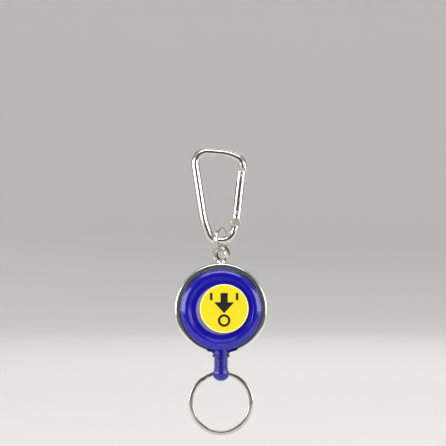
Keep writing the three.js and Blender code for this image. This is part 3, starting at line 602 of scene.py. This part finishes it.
# ---- gate spring
# A helix of drawn spring steel in the gate's bore. It presses the plunger onto
# the hinge tongue, which shuts the gate.
SPRING_WIRE = 0.3
SPRING_TURNS = 7
PLUNGER_GAP = 0.3
PLUNGER_LENGTH = 3.1
SPRING_FOOT = HINGE_TONGUE_RADIUS + PLUNGER_GAP + PLUNGER_LENGTH + PLUNGER_GAP
SPRING_LENGTH = 4.2
SPRING_STEPS = 20


def spring_steel():
    """Drawn spring steel: grey and satin, with fine lines from the die."""
    material, tree, principled = new_material(
        "drawn_spring_steel", Base_Color=colour("#9b9da1"), Metallic=1.0, Roughness=0.32)
    lines = noise(tree, 0.2, 3.0)
    vary_roughness(tree, principled, lines, 0.24, 0.42, (0.0, 1.0))
    emboss(tree, principled, lines, 0.2, 0.01)
    return material


steel = spring_steel()
spring_mesh = bmesh.new()
spring_ring = round_section(spring_mesh, SPRING_WIRE / 2, 8)
spring_radius = (GATE_BORE - SPRING_WIRE) / 2 - PIN_GAP
spring_stations = []
for step in range(SPRING_TURNS * SPRING_STEPS + 1):
    angle = 2 * math.pi * step / SPRING_STEPS
    outward = Vector((math.cos(angle), math.sin(angle), 0))
    height = SPRING_FOOT + SPRING_WIRE / 2 + SPRING_LENGTH * step / (SPRING_TURNS * SPRING_STEPS)
    along = Vector((-math.sin(angle), math.cos(angle), 0))
    spring_stations.append(station(outward * spring_radius + Vector((0, 0, height)), outward, along))
sweep(spring_mesh, spring_ring, spring_stations)
gate_coil = new_piece("gate_coil", spring_mesh)
gate_coil.data.transform(on_gate_line)
settle(gate_coil, steel, "spring_steel", "gate_spring", body="gate", sharp=80)
for node in ("gate_plunger", "swivel_washer"):
    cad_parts[node].material_slots[0].material = steel


# ---- link ring
# A small split ring of flattened nickel-plated wire, two coils side by side.
# It hangs on the bar and carries the swivel eye.
LINK_WIDTH = 0.9
LINK_COIL = 0.42
LINK_PITCH = 0.48
LINK_TURN = 61.3
LINK_SPLIT = 35
RING_END_ANGLE = 17
RING_CROSSOVER = 26
RING_END_SIZES = (0.72, 0.93)
WIRE_CORNER = 0.38


def split_ring(name, middle, outer, width, coil, pitch, split, steps):
    """Two flat coils side by side along Y, joined by a short crossover centred on angle split."""
    bm = bmesh.new()
    signs = ((-1, -1), (1, -1), (1, 1), (-1, 1))
    corners = [bm.verts.new((x * width / 2, y * coil / 2, 0)) for x, y in signs]
    for i in range(4):
        bm.edges.new((corners[i], corners[(i + 1) % 4]))
    bmesh.ops.bevel(bm, geom=corners, offset=coil * WIRE_CORNER, offset_type="OFFSET", segments=4,
                    profile=0.5, affect="VERTICES", material=-1)
    radius = outer - width / 2
    start = math.radians(RING_END_ANGLE) - 2 * math.pi
    crossover = math.radians(RING_CROSSOVER)
    stations = []
    for step in range(steps + 1):
        angle = start - 2 * start * step / steps
        share = min(max(angle / crossover + 0.5, 0), 1)
        slide = share * share * (3 - 2 * share)
        turn = math.radians(split) - angle
        outward = Vector((math.cos(turn), 0, math.sin(turn)))
        along = Vector((math.sin(turn), 0, -math.cos(turn)))
        place = middle + outward * radius + Vector((0, pitch * (slide - 0.5), 0))
        end = min(step, steps - step)
        size = RING_END_SIZES[end] if end < len(RING_END_SIZES) else 1.0
        stations.append(station(place, outward, along, size, size))
    sweep(bm, bm.edges[:], stations)
    return new_piece(name, bm)


link = split_ring("link_ring_wire", Vector((0, 0, 0)), half_size("link_ring", "z"), LINK_WIDTH, LINK_COIL,
                  LINK_PITCH, LINK_SPLIT, 200)
link_turned = Matrix.Rotation(math.radians(LINK_TURN), 4, "Z")
link.data.transform(Matrix.Translation(span("link_ring")[1]) @ link_turned)
settle(link, nickel, "polished_nickel", "link_ring", body="link")


# ---- swivel eye
# A cast and plated eye on a turned stem. The stem passes through the band and
# the rim of the case, and its head turns inside on a steel washer.
EYE_HOLE = 3.8
EYE_WALL = 0.9
EYE_THICKNESS = 3.6
FOOT_DIAMETER = 3.7
FOOT_HEIGHT = 0.55
FOOT_TAPER = 0.5
FOOT_SHOULDER = 0.35
FOOT_CROWN = 0.6
STEM_DIAMETER = 1.9
STEM_HEAD_DIAMETER = 3.4
STEM_HEAD_HEIGHT = 0.8
RUNNING_GAP = 0.3

eye_low, _, eye_high = span("swivel_eye")
eye_outer = EYE_HOLE / 2 + EYE_WALL
eye_centre = Vector((0, 0, eye_high.z - eye_outer))
case_radius = half_size("trim_band", "x")
foot_bottom = case_middle.z + case_radius + RUNNING_GAP
foot_top = foot_bottom + FOOT_HEIGHT
head_top = eye_low.z + STEM_HEAD_HEIGHT
facing = Matrix.Translation(eye_centre) @ Matrix.Rotation(math.radians(LINK_TURN - 90), 4, "Z")
head = STEM_HEAD_DIAMETER / 2
stem = STEM_DIAMETER / 2
foot = FOOT_DIAMETER / 2
eye = turned([(0, eye_low.z), (head, eye_low.z, 0.2), (head, head_top, 0.05), (stem, head_top),
              (stem, foot_bottom), (foot, foot_bottom, 0.12), (foot, foot_top, 0.15),
              (foot - FOOT_TAPER, foot_top + FOOT_SHOULDER), (0, foot_top + FOOT_CROWN)],
             "Z", 56, "swivel_eye_casting")
loop_section = arc(EYE_HOLE / 2 + EYE_WALL / 2, 0, EYE_WALL / 2, EYE_THICKNESS / 2, 0, 360, 28)[:-1]
loop = turned(loop_section, "Y", 72)
loop.data.transform(facing)
hole = rod(EYE_HOLE / 2 + 0.1, Vector((0, -4, 0)), Vector((0, 4, 0)), 72)
hole.data.transform(facing)
combine(eye, "DIFFERENCE", hole)
combine(eye, "UNION", loop)
settle(eye, nickel, "polished_nickel", "swivel_eye", body="eye")


# ---- trim band
# A strip of bright chromed steel, rolled round the seam of the case with its
# edges turned inwards over the shells' rims. It is open at the bottom for the
# spout and pierced at the top for the swivel stem.
BAND_THICKNESS = 0.55
BAND_LIP = 1.7
BAND_CROWN = 4.8
BAND_CROWN_ANGLE = 14.5
BAND_CORNER = 0.5
BAND_HEM = 0.1
BAND_EDGE = 0.04
BAND_END_LEFT = 19
BAND_END_RIGHT = 23


def bright_chrome():
    """Chrome plate on rolled strip: cool and mirror-bright, with hairlines round the rim."""
    material, tree, principled = new_material(
        "bright_chrome_plate", Base_Color=colour("#ececec"), Metallic=1.0, Roughness=0.07)
    lines = noise(tree, 0.15, 2.0, stretch=(0.1, 1.0, 0.1))
    cloud = noise(tree, 4, 3.0)
    vary_roughness(tree, principled, cloud, 0.04, 0.12)
    emboss(tree, principled, lines, 0.1, 0.01)
    return material


band_half = half_size("trim_band", "y")
band_inner = case_radius - BAND_THICKNESS
band_lip_inner = case_radius - BAND_LIP
lip_inside = band_half - BAND_THICKNESS
crown = arc(band_lip_inner + BAND_HEM, BAND_CROWN - band_half, BAND_CROWN, BAND_CROWN, -90,
            BAND_CROWN_ANGLE - 90, 6)
crown_slope = math.tan(math.radians(BAND_CROWN_ANGLE))
crown.append((case_radius, crown[-1][1] + (case_radius - crown[-1][0]) * crown_slope, BAND_CORNER))
band_section = [(band_lip_inner, -band_half + BAND_EDGE), *crown]
band_section += [(r, -y, *round_) for r, y, *round_ in band_section[::-1]]
band_section += [(band_lip_inner, lip_inside, 0.1), (band_inner, lip_inside, 0.2),
                 (band_inner, -lip_inside, 0.2), (band_lip_inner, -lip_inside, 0.1)]
band = turned(band_section, "Y", 160, "rim_band", start=90 - BAND_END_RIGHT,
              sweep_angle=BAND_END_LEFT + BAND_END_RIGHT - 360)
band.data.transform(Matrix.Translation(case_middle))
stem_hole = STEM_DIAMETER / 2 + RUNNING_GAP
band_hole = rod(stem_hole, Vector((0, 0, case_middle.z + case_radius - 2)),
                Vector((0, 0, case_middle.z + case_radius + 1)))
combine(band, "DIFFERENCE", band_hole)
chrome = bright_chrome()
settle(band, chrome, "chrome_band", "trim_band", body="case")


# ---- case shells
# Two injection-moulded shells of translucent royal blue polystyrene. The front
# has a rounded shoulder, a flat ring sunk inside it and a raised round pad. The
# back is flat and carries the post that the spool turns on. Each has half of
# the spout.
SHELL_WALL = 1.2
RIM_WALL = 0.7
FRONT_DEPTH = 5.2
FRONT_RECESS = 0.6
SHOULDER_ROUND = 4.5
SHOULDER_SLOPE = 28
SHOULDER_EDGE = 1.1
DIP_WIDTH = 1.0
DIP_STEPS = 14
PAD_CHAMFER = 0.7
PAD_ETCH_AND_PAINTED_REFLECTION_START = 0.3
BACK_ROUND = 1.9
PAD_DIAMETER = 17.2
LIP_HEIGHT = 1.2
LIP_THICKNESS = 0.45
POST_DIAMETER = 3.2
POST_SLOT_WIDTH = 0.5
POST_SLOT_END = 1.8
POST_SLOT_TOP = 0.6
SPOUT_DIAMETER = 6.0
GROOVE_DEPTH = 0.3
GROOVE_HEIGHTS = (0.12, 0.34, 0.46)
CORD_BORE = 1.7
BORE_FLARE = 0.35
FUNNEL_NECK = 0.9
FUNNEL_WIDTH = 3.0
FUNNEL_TOP = 2.0
SWIVEL_ROOM = 2.3
SHELL_STEPS = 144


def blue_polystyrene(name, clearness, *tints):
    """Clear polystyrene dyed royal blue: glossy, seen through a little, with faint flow marks."""
    material, tree, principled = new_material(
        name, Base_Color=colour(tints[0]), Roughness=0.09, IOR=1.59, Transmission_Weight=clearness,
        Coat_Weight=0.15, Coat_Roughness=0.04)
    flow = noise(tree, 6, 3.0, Distortion=0.6)
    two_tones(tree, principled, flow, tints[0], tints[1])
    vary_roughness(tree, principled, flow, 0.05, 0.13)
    grain = noise(tree, 0.8, 2.0)
    emboss(tree, principled, grain, 0.08, 0.02)
    return material


def etched_polystyrene_painted_reflection():
    """The pad's face, spark-etched in the mould so that the label holds: rough and finely grained, and
    coloured grey as a painted reflection of the pale surroundings.
    """
    material, tree, principled = new_material(
        "etched_blue_polystyrene_painted_reflection", Base_Color=colour("#716d92"), Roughness=0.5, IOR=1.59,
        Transmission_Weight=0.15)
    etching = noise(tree, 0.15, 4.0)
    two_tones(tree, principled, etching, "#625e84", "#807ca0")
    emboss(tree, principled, etching, 0.4, 0.03)
    return material


seat = band_inner - RUNNING_GAP
shell_inner = seat - SHELL_WALL
rim_face = lip_inside - RUNNING_GAP
rim_inside = rim_face - RIM_WALL
shoulder_radius = band_lip_inner - RUNNING_GAP
shoulder_inner = shoulder_radius - SHELL_WALL
lip_radius = shell_inner - RUNNING_GAP
back_inner = lip_radius - LIP_THICKNESS
back_face = span("back_shell")[2].y
pad_face = span("front_shell")[0].y
ring_face = FRONT_RECESS - FRONT_DEPTH
slope = math.radians(SHOULDER_SLOPE)
edge_radius = shoulder_radius - SHOULDER_EDGE
crest_radius = edge_radius - (SHOULDER_ROUND - SHOULDER_EDGE) * math.sin(slope)
edge_height = SHOULDER_ROUND - FRONT_DEPTH - (SHOULDER_ROUND - SHOULDER_EDGE) * math.cos(slope)
pad_radius = PAD_DIAMETER / 2
post_end = ring_face + SHELL_WALL + RUNNING_GAP


def spout_half(side):
    """Half of the stepped spout below the case, on the front for side -1 or the back for 1."""
    outer = SPOUT_DIAMETER / 2
    top = -shell_inner - 0.2
    end = spout_end - case_middle.z
    groove = end + (top - end) / 4
    floor_start, floor_end, groove_end = (groove + height for height in GROOVE_HEIGHTS)
    whole = turned([(0, end), (outer, end, 0.15), (outer, groove, 0.12),
                    (outer - GROOVE_DEPTH, floor_start, 0.08), (outer - GROOVE_DEPTH, floor_end, 0.08),
                    (outer, groove_end, 0.12), (outer, top), (0, top)], "Z", 64)
    return combine(whole, "INTERSECT", block((-9, min(0, side * 9), end - 2), (9, max(0, side * 9), top + 2)))


def openings():
    """The cord's way out with its funnel, and the swivel's hole with room for its head."""
    end = spout_end - case_middle.z
    bore = CORD_BORE / 2
    funnel_top = -shell_inner + FUNNEL_TOP
    way_out = turned([(0, end - 1), (bore + BORE_FLARE, end - 0.2), (bore, end + 0.2),
                      (bore, -shell_inner - FUNNEL_NECK), (bore + FUNNEL_WIDTH, funnel_top), (0, funnel_top)],
                     "Z", 40)
    way_up = turned([(0, shell_inner - 4), (SWIVEL_ROOM, shell_inner - 4), (SWIVEL_ROOM, shell_inner),
                     (stem_hole, shell_inner), (stem_hole, case_radius + 1), (0, case_radius + 1)], "Z", 40)
    return way_out, way_up


front_profile = [(seat, 0), (seat, -rim_face, 0.08), (shoulder_radius, -rim_face)]
front_profile += arc(edge_radius, edge_height, SHOULDER_EDGE, SHOULDER_EDGE, 0, SHOULDER_SLOPE - 90, 12)
front_profile += arc(crest_radius, SHOULDER_ROUND - FRONT_DEPTH, SHOULDER_ROUND, SHOULDER_ROUND,
                     SHOULDER_SLOPE - 90, -90, 10)[1:]
front_profile += [(crest_radius - DIP_WIDTH * step / DIP_STEPS,
                   ring_face - FRONT_RECESS * (1 + math.cos(math.pi * step / DIP_STEPS)) / 2)
                  for step in range(1, DIP_STEPS + 1)]
pad_inner = pad_radius - SHELL_WALL
pad_inside = pad_face + SHELL_WALL
ring_inside = ring_face + SHELL_WALL
front_profile += [
    (pad_radius, ring_face, 0.15), (pad_radius - 0.05, pad_face + PAD_CHAMFER, 0.3),
    (pad_radius - PAD_CHAMFER, pad_face, 0.3), (0, pad_face), (0, pad_inside),
    (pad_inner, pad_inside, 0.3), (pad_inner, ring_inside, 0.3), (shoulder_inner, ring_inside, 0.6),
    (shoulder_inner, -rim_inside), (shell_inner, -rim_inside), (shell_inner, 0)]
front = turned(front_profile, "Y", SHELL_STEPS, "front_case")
combine(front, "UNION", spout_half(-1))
combine(front, "DIFFERENCE", *openings())
front.data.transform(Matrix.Translation(case_middle))
blue = blue_polystyrene("translucent_blue_polystyrene", 0.75, "#2314dc", "#2a19e6")
settle(front, blue, "blue_plastic", "front_shell", body="case", sharp=30)
# The pad's raised face gets the etched material. Its roughness and grain are the real etching, and its grey
# colour is a painted reflection of the pale surroundings.
front.data.materials.append(etched_polystyrene_painted_reflection())
for face in front.data.polygons:
    off_middle = face.center / MM - case_middle
    if math.hypot(off_middle.x, off_middle.z) < pad_radius and off_middle.y < ring_face - PAD_ETCH_AND_PAINTED_REFLECTION_START:
        face.material_index = 1

back_floor = back_face - SHELL_WALL
back_profile = [(seat, 0), (seat, rim_face, 0.08), (shoulder_radius, rim_face)]
back_profile += arc(shoulder_radius - BACK_ROUND, back_face - BACK_ROUND, BACK_ROUND, BACK_ROUND, 0, 90, 16)
back_profile += [
    (0, back_face), (0, post_end), (POST_DIAMETER / 2, post_end, 0.2), (POST_DIAMETER / 2, back_floor, 0.3),
    (shoulder_inner, back_floor, 0.6), (shoulder_inner, rim_inside), (back_inner, rim_inside),
    (back_inner, -LIP_HEIGHT, 0.1), (lip_radius, -LIP_HEIGHT, 0.1), (lip_radius, 0)]
back = turned(back_profile, "Y", SHELL_STEPS, "back_case")
combine(back, "UNION", spout_half(1))
post_slot = block((-POST_SLOT_WIDTH / 2, post_end - 1, -POST_DIAMETER),
                  (POST_SLOT_WIDTH / 2, POST_SLOT_END, POST_SLOT_TOP))
combine(back, "DIFFERENCE", *openings(), post_slot)
back.data.transform(Matrix.Translation(case_middle))
settle(back, blue, "blue_plastic", "back_shell", body="case", sharp=30)


# ---- label
# A round self-adhesive vinyl label on the pad, stuck on by hand a little off
# the middle. It is printed yellow to just short of its edge, and a black
# pull-down arrow over a ring is printed on it.
LABEL_DIAMETER = 16.8
INK_THICKNESS = 0.02
INK_END = 0.42
BARE_RIM = 0.3


def printed_vinyl():
    """Yellow ink on white vinyl: satin, with a paler unprinted rim and the faint mottle of the print."""
    material, tree, principled = new_material(
        "printed_yellow_vinyl", Base_Color=colour("#efd00c"), Roughness=0.34, Coat_Weight=0.25,
        Coat_Roughness=0.2)
    place = add_node(tree, "TexCoord").outputs["Object"]
    centre = tuple(label_middle * MM)
    offset = add_node(tree, "VectorMath", {0: place, 1: centre}, operation="DISTANCE")
    rim = add_node(tree, "MapRange", {"Value": offset.outputs["Value"],
                                      "From Min": (LABEL_DIAMETER / 2 - INK_END) * MM,
                                      "From Max": (LABEL_DIAMETER / 2 - BARE_RIM) * MM})
    mottle = noise(tree, 0.5, 4.0)
    ink = add_node(tree, "Mix", {0: mottle, 6: colour("#efd00c"), 7: colour("#e9c808")},
                   data_type="RGBA")
    tint = add_node(tree, "Mix", {0: rim.outputs[0], 6: ink.outputs[2], 7: colour("#faf3a8")},
                    data_type="RGBA")
    tree.links.new(tint.outputs[2], principled.inputs["Base Color"])
    emboss(tree, principled, mottle, 0.15, 0.01)
    return material


def printed_ink():
    """Black screen ink, satin and very slightly raised."""
    material, tree, principled = new_material(
        "black_screen_ink", Base_Color=colour("#121212"), Roughness=0.38)
    speck = noise(tree, 0.3, 3.0)
    two_tones(tree, principled, speck, "#0d0d0d", "#1d1c18")
    return material


label_low, label_middle, label_high = span("label_disc")
label_front = label_low.y + INK_THICKNESS
label = turned([(0, label_front), (LABEL_DIAMETER / 2, label_front, 0.06), (LABEL_DIAMETER / 2, label_high.y),
                (0, label_high.y)], "Y", 128, "label")
label.data.transform(Matrix.Translation((label_middle.x, 0, label_middle.z)))
settle(label, printed_vinyl(), "label_paper", "label_disc", body="case")

ARROW_OUTLINE = [(-1.25, 5.4), (1.25, 5.4), (1.25, 2.2), (3.5, 2.2), (0, -1.6), (-3.5, 2.2), (-1.25, 2.2)]
STROKE_OUTLINE = [(4.0, 5.4), (4.9, 5.4), (4.9, 2.9), (4.0, 2.9)]
PRINT_RING_RADIUS = 1.75
PRINT_RING_WIDTH = 0.85
PRINT_RING_Z = -4.1

print_mesh = bmesh.new()
for outline in (ARROW_OUTLINE, STROKE_OUTLINE, [(-x, z) for x, z in STROKE_OUTLINE[::-1]]):
    print_mesh.faces.new([print_mesh.verts.new((x, 0, z)) for x, z in outline])
ring_inner, ring_outer = (bmesh.ops.create_circle(
    print_mesh, segments=64, radius=PRINT_RING_RADIUS + change,
    matrix=Matrix.Translation((0, 0, PRINT_RING_Z)) @ Matrix.Rotation(math.radians(90), 4, "X"))["verts"]
    for change in (-PRINT_RING_WIDTH / 2, PRINT_RING_WIDTH / 2))
bmesh.ops.bridge_loops(print_mesh, edges=list({edge for corner in ring_inner + ring_outer
                                               for edge in corner.link_edges}))
printed = print_mesh.faces[:]
raised = bmesh.ops.extrude_face_region(print_mesh, geom=printed)["geom"]
bmesh.ops.translate(print_mesh, vec=(0, -INK_THICKNESS, 0),
                    verts=[item for item in raised if isinstance(item, bmesh.types.BMVert)])
label_print = new_piece("label_print", print_mesh)
label_print.data.transform(Matrix.Translation((label_middle.x, label_front, label_middle.z)))
settle(label_print, printed_ink(), "label_paper", body="case")


# ---- spool
# The cord's drum between two flanges, moulded in white acetal. The coiled
# mainspring lies inside the drum, behind a thin cover.
FLANGE_THICKNESS = 0.8
DRUM_DIAMETER = 15.0
DRUM_WALL = 0.8
COVER_THICKNESS = 0.4
COVER_RECESS = 0.2
MAINSPRING_STRIP = 0.15
MAINSPRING_TURNS = 6
MAINSPRING_STEPS = 40
MAINSPRING_HUB_GAP = 0.3


def white_acetal():
    """Moulded acetal: milky white, waxy and slightly translucent."""
    material, tree, principled = new_material(
        "white_acetal", Base_Color=colour("#e4e4de"), Roughness=0.4, Subsurface_Weight=0.15,
        Subsurface_Radius=(0.002, 0.002, 0.002))
    grain = noise(tree, 0.7, 3.0)
    emboss(tree, principled, grain, 0.15, 0.02)
    return material


acetal = white_acetal()
hub_hole = POST_DIAMETER / 2 + RUNNING_GAP
spool_low, _, spool_high = span("spool")
flange = half_size("spool", "x")
drum = DRUM_DIAMETER / 2
cup = drum - DRUM_WALL
reel_front, reel_back = spool_low.y, spool_high.y
reel = turned([
    (hub_hole, reel_front, 0.1), (flange, reel_front, 0.25), (flange, reel_front + FLANGE_THICKNESS, 0.25),
    (drum, reel_front + FLANGE_THICKNESS, 0.2), (drum, reel_back - FLANGE_THICKNESS, 0.2),
    (flange, reel_back - FLANGE_THICKNESS, 0.25), (flange, reel_back, 0.25), (cup, reel_back, 0.15),
    (cup, reel_front + FLANGE_THICKNESS, 0.2), (hub_hole, reel_front + FLANGE_THICKNESS, 0.1)],
    "Y", 96, "cord_spool")
reel.data.transform(Matrix.Translation(case_middle))
settle(reel, acetal, "white_plastic", "spool", body="spool")
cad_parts["spring_cover"].material_slots[0].material = acetal

strip_mesh = bmesh.new()
strip_front = reel_front + FLANGE_THICKNESS + RUNNING_GAP
strip_back = reel_back - COVER_THICKNESS - COVER_RECESS - RUNNING_GAP
strip_corners = [strip_mesh.verts.new((x, y, 0)) for x, y in (
    (-MAINSPRING_STRIP / 2, strip_front), (MAINSPRING_STRIP / 2, strip_front),
    (MAINSPRING_STRIP / 2, strip_back), (-MAINSPRING_STRIP / 2, strip_back))]
for i in range(4):
    strip_mesh.edges.new((strip_corners[i], strip_corners[(i + 1) % 4]))
strip_inner = hub_hole + MAINSPRING_HUB_GAP
strip_outer = cup - RUNNING_GAP - MAINSPRING_STRIP
strip_stations = []
for step in range(MAINSPRING_TURNS * MAINSPRING_STEPS + 1):
    share = step / (MAINSPRING_TURNS * MAINSPRING_STEPS)
    angle = 2 * math.pi * MAINSPRING_TURNS * share + math.pi / 2
    outward = Vector((math.cos(angle), 0, math.sin(angle)))
    along = Vector((math.sin(angle), 0, -math.cos(angle)))
    radius = strip_inner + (strip_outer - strip_inner) * share
    strip_stations.append(station(case_middle + outward * radius, outward, along))
sweep(strip_mesh, strip_mesh.edges[:], strip_stations)
coil_spring = new_piece("coil_spring", strip_mesh)
settle(coil_spring, steel, "spring_steel", "mainspring", body="spool", sharp=60)


# ---- pull grip
# A one-piece moulding in the same blue polystyrene: a ribbed neck for the
# fingers, a collar, and a ball with a cross hole for the key ring.
NECK_DIAMETER = 4.9
NECK_LENGTH = 3.65
RIB_COUNT = 4
RIB_DEPTH = 0.38
RIB_SHARES = (0.52, 0.6, 0.92)
KNOT_GAP = 0.35
COLLAR_DIAMETER = 5.2
COLLAR_HEIGHT = 0.9
BALL_DIAMETER = 6.2
BALL_HEIGHT = 5.6
BALL_DROP = 0.7
BALL_HOLE = 3.2

neck = NECK_DIAMETER / 2
pitch = NECK_LENGTH / RIB_COUNT
collar = COLLAR_DIAMETER / 2
ball_half = BALL_HEIGHT / 2
collar_top = grip_top - NECK_LENGTH
collar_bottom = collar_top - COLLAR_HEIGHT
ball_middle = Vector((0, 0, collar_bottom - BALL_DROP))
grip_profile = [(0, grip_top)]
for rib in range(RIB_COUNT):
    top = grip_top - rib * pitch
    crest_end, floor_start, floor_end = (top - share * pitch for share in RIB_SHARES)
    grip_profile += [(neck, top, 0.08), (neck, crest_end, 0.08),
                     (neck - RIB_DEPTH, floor_start, 0.06), (neck - RIB_DEPTH, floor_end, 0.06)]
seam = math.degrees(math.asin(BALL_DROP / ball_half))
grip_profile += [(collar, collar_top, 0.15), (collar, collar_bottom, 0.1)]
grip_profile += arc(0, ball_middle.z, BALL_DIAMETER / 2, ball_half, seam, -90, 22)[:-1]
grip_profile += [(0, ball_middle.z - ball_half)]
grip = turned(grip_profile, "Z", 72, "pull_handle")
chamber_top = knot_place.z + KNOT_SIZE / 2 + RUNNING_GAP
combine(grip, "DIFFERENCE",
        rod(CORD_BORE / 2, knot_place, Vector((0, 0, grip_top + 1))),
        rod(KNOT_SIZE / 2 + KNOT_GAP, ball_middle, Vector((0, 0, chamber_top))),
        rod(BALL_HOLE / 2, ball_middle - Vector((5, 0, 0)), ball_middle + Vector((5, 0, 0))))
solid_blue = blue_polystyrene("solid_blue_polystyrene", 0.45, "#180fa4", "#2016b6")
settle(grip, solid_blue, "blue_plastic", "pull_grip", body="pull", sharp=40)


# ---- key ring
# A split ring of flattened nickel-plated wire, 22 mm across, through the ball.
KEY_RING_WIDTH = 1.5
KEY_RING_COIL = 0.65
KEY_RING_PITCH = 0.75
KEY_RING_SPLIT = 118
KEY_RING_INSET = 0.03

key_radius = half_size("key_ring", "x") - KEY_RING_INSET
key_centre = Vector((0, 0, ball_middle.z - key_radius + KEY_RING_WIDTH / 2))
key_ring = split_ring("key_ring_wire", key_centre, key_radius, KEY_RING_WIDTH, KEY_RING_COIL, KEY_RING_PITCH,
                      KEY_RING_SPLIT, 320)
settle(key_ring, nickel, "polished_nickel", "key_ring", body="ring")


# ---- studio
# A pale floor a little below the reel that curves up into a pale wall all
# round, softboxes on both sides and above, and dark cards in front, behind and
# on the floor that only reflections see, so that bright metal shows streaks.
FLOOR_DROP = 0.014
FLOOR_RADIUS = 0.8
SWEEP_RADIUS = 0.7
SWEEP_ANGLE = 65


def softbox(name, place, width, height, power):
    """An area light that faces the reel."""
    light = bpy.data.lights.new(name, "AREA")
    light.shape = "RECTANGLE"
    light.size = width
    light.size_y = height
    light.energy = power
    lamp = bpy.data.objects.new(name, light)
    lamp.location = place
    lamp.visible_camera = False
    lamp.rotation_euler = (reel_middle - Vector(place)).to_track_quat("-Z", "Y").to_euler()
    bpy.context.collection.objects.link(lamp)


def stage_piece(name, bm, shade, roughness):
    """A surface that isn't part of the reel."""
    piece = new_object(name, bm)
    piece.data.materials.append(new_material(name, Base_Color=shade, Roughness=roughness)[0])
    piece.data.shade_smooth()
    return piece


reel_low, reel_high = (Vector(corner) for corner in cad_box)
reel_middle = (reel_low + reel_high) / 2
floor_height = reel_low.z - FLOOR_DROP
bowl_mesh = bmesh.new()
bowl_points = [(0, 0), *arc(FLOOR_RADIUS, SWEEP_RADIUS, SWEEP_RADIUS, SWEEP_RADIUS, -90,
                            SWEEP_ANGLE - 90, 20)]
bowl_corners = [bowl_mesh.verts.new((radius, 0, floor_height + height)) for radius, height in bowl_points]
for pair in zip(bowl_corners, bowl_corners[1:]):
    bowl_mesh.edges.new(pair)
bmesh.ops.spin(bowl_mesh, geom=bowl_mesh.verts[:] + bowl_mesh.edges[:], cent=(0, 0, 0), axis=(0, 0, 1),
               angle=2 * math.pi, steps=64, use_merge=True)
bmesh.ops.remove_doubles(bowl_mesh, verts=bowl_mesh.verts, dist=1e-5)
stage_piece("floor", bowl_mesh, colour("#e2e0dc"), 0.8)

for place, tilt, width, height, shade in (((0, -0.62, 0.05), 90, 0.56, 0.6, "#4a4a4c"),
                                          ((0, -0.41, floor_height + 0.001), 0, 0.56, 0.42, "#4a4a4c"),
                                          ((0, 0.36, 0.05), 90, 0.9, 0.6, "#2c2c2e")):
    card_mesh = bmesh.new()
    bmesh.ops.create_grid(card_mesh, x_segments=1, y_segments=1, size=0.5,
                          matrix=Matrix.Translation(place) @ Matrix.Rotation(math.radians(tilt), 4, "X")
                          @ Matrix.Diagonal((width, height, 1, 1)))
    card = stage_piece("dark_card", card_mesh, colour(shade), 0.9)
    card.visible_camera = False
    card.visible_diffuse = False
    card.visible_shadow = False
    card.visible_transmission = False

softbox("left_box", (-0.62, -0.32, -0.03), 0.85, 0.5, 5.4)
softbox("right_box", (0.62, -0.32, -0.03), 0.85, 0.5, 4.6)
softbox("top_box", (0.0, -0.46, 0.52), 0.7, 0.3, 2.2)
softbox("back_box", (0.1, 0.6, 0.5), 0.7, 0.5, 2.5)

world = bpy.data.worlds.new("studio")
world.use_nodes = True
world.node_tree.nodes["Background"].inputs["Color"].default_value = colour("#f2f4f6")
world.node_tree.nodes["Background"].inputs["Strength"].default_value = 0.52
bpy.context.scene.world = world
bpy.context.scene.view_settings.view_transform = "Standard"
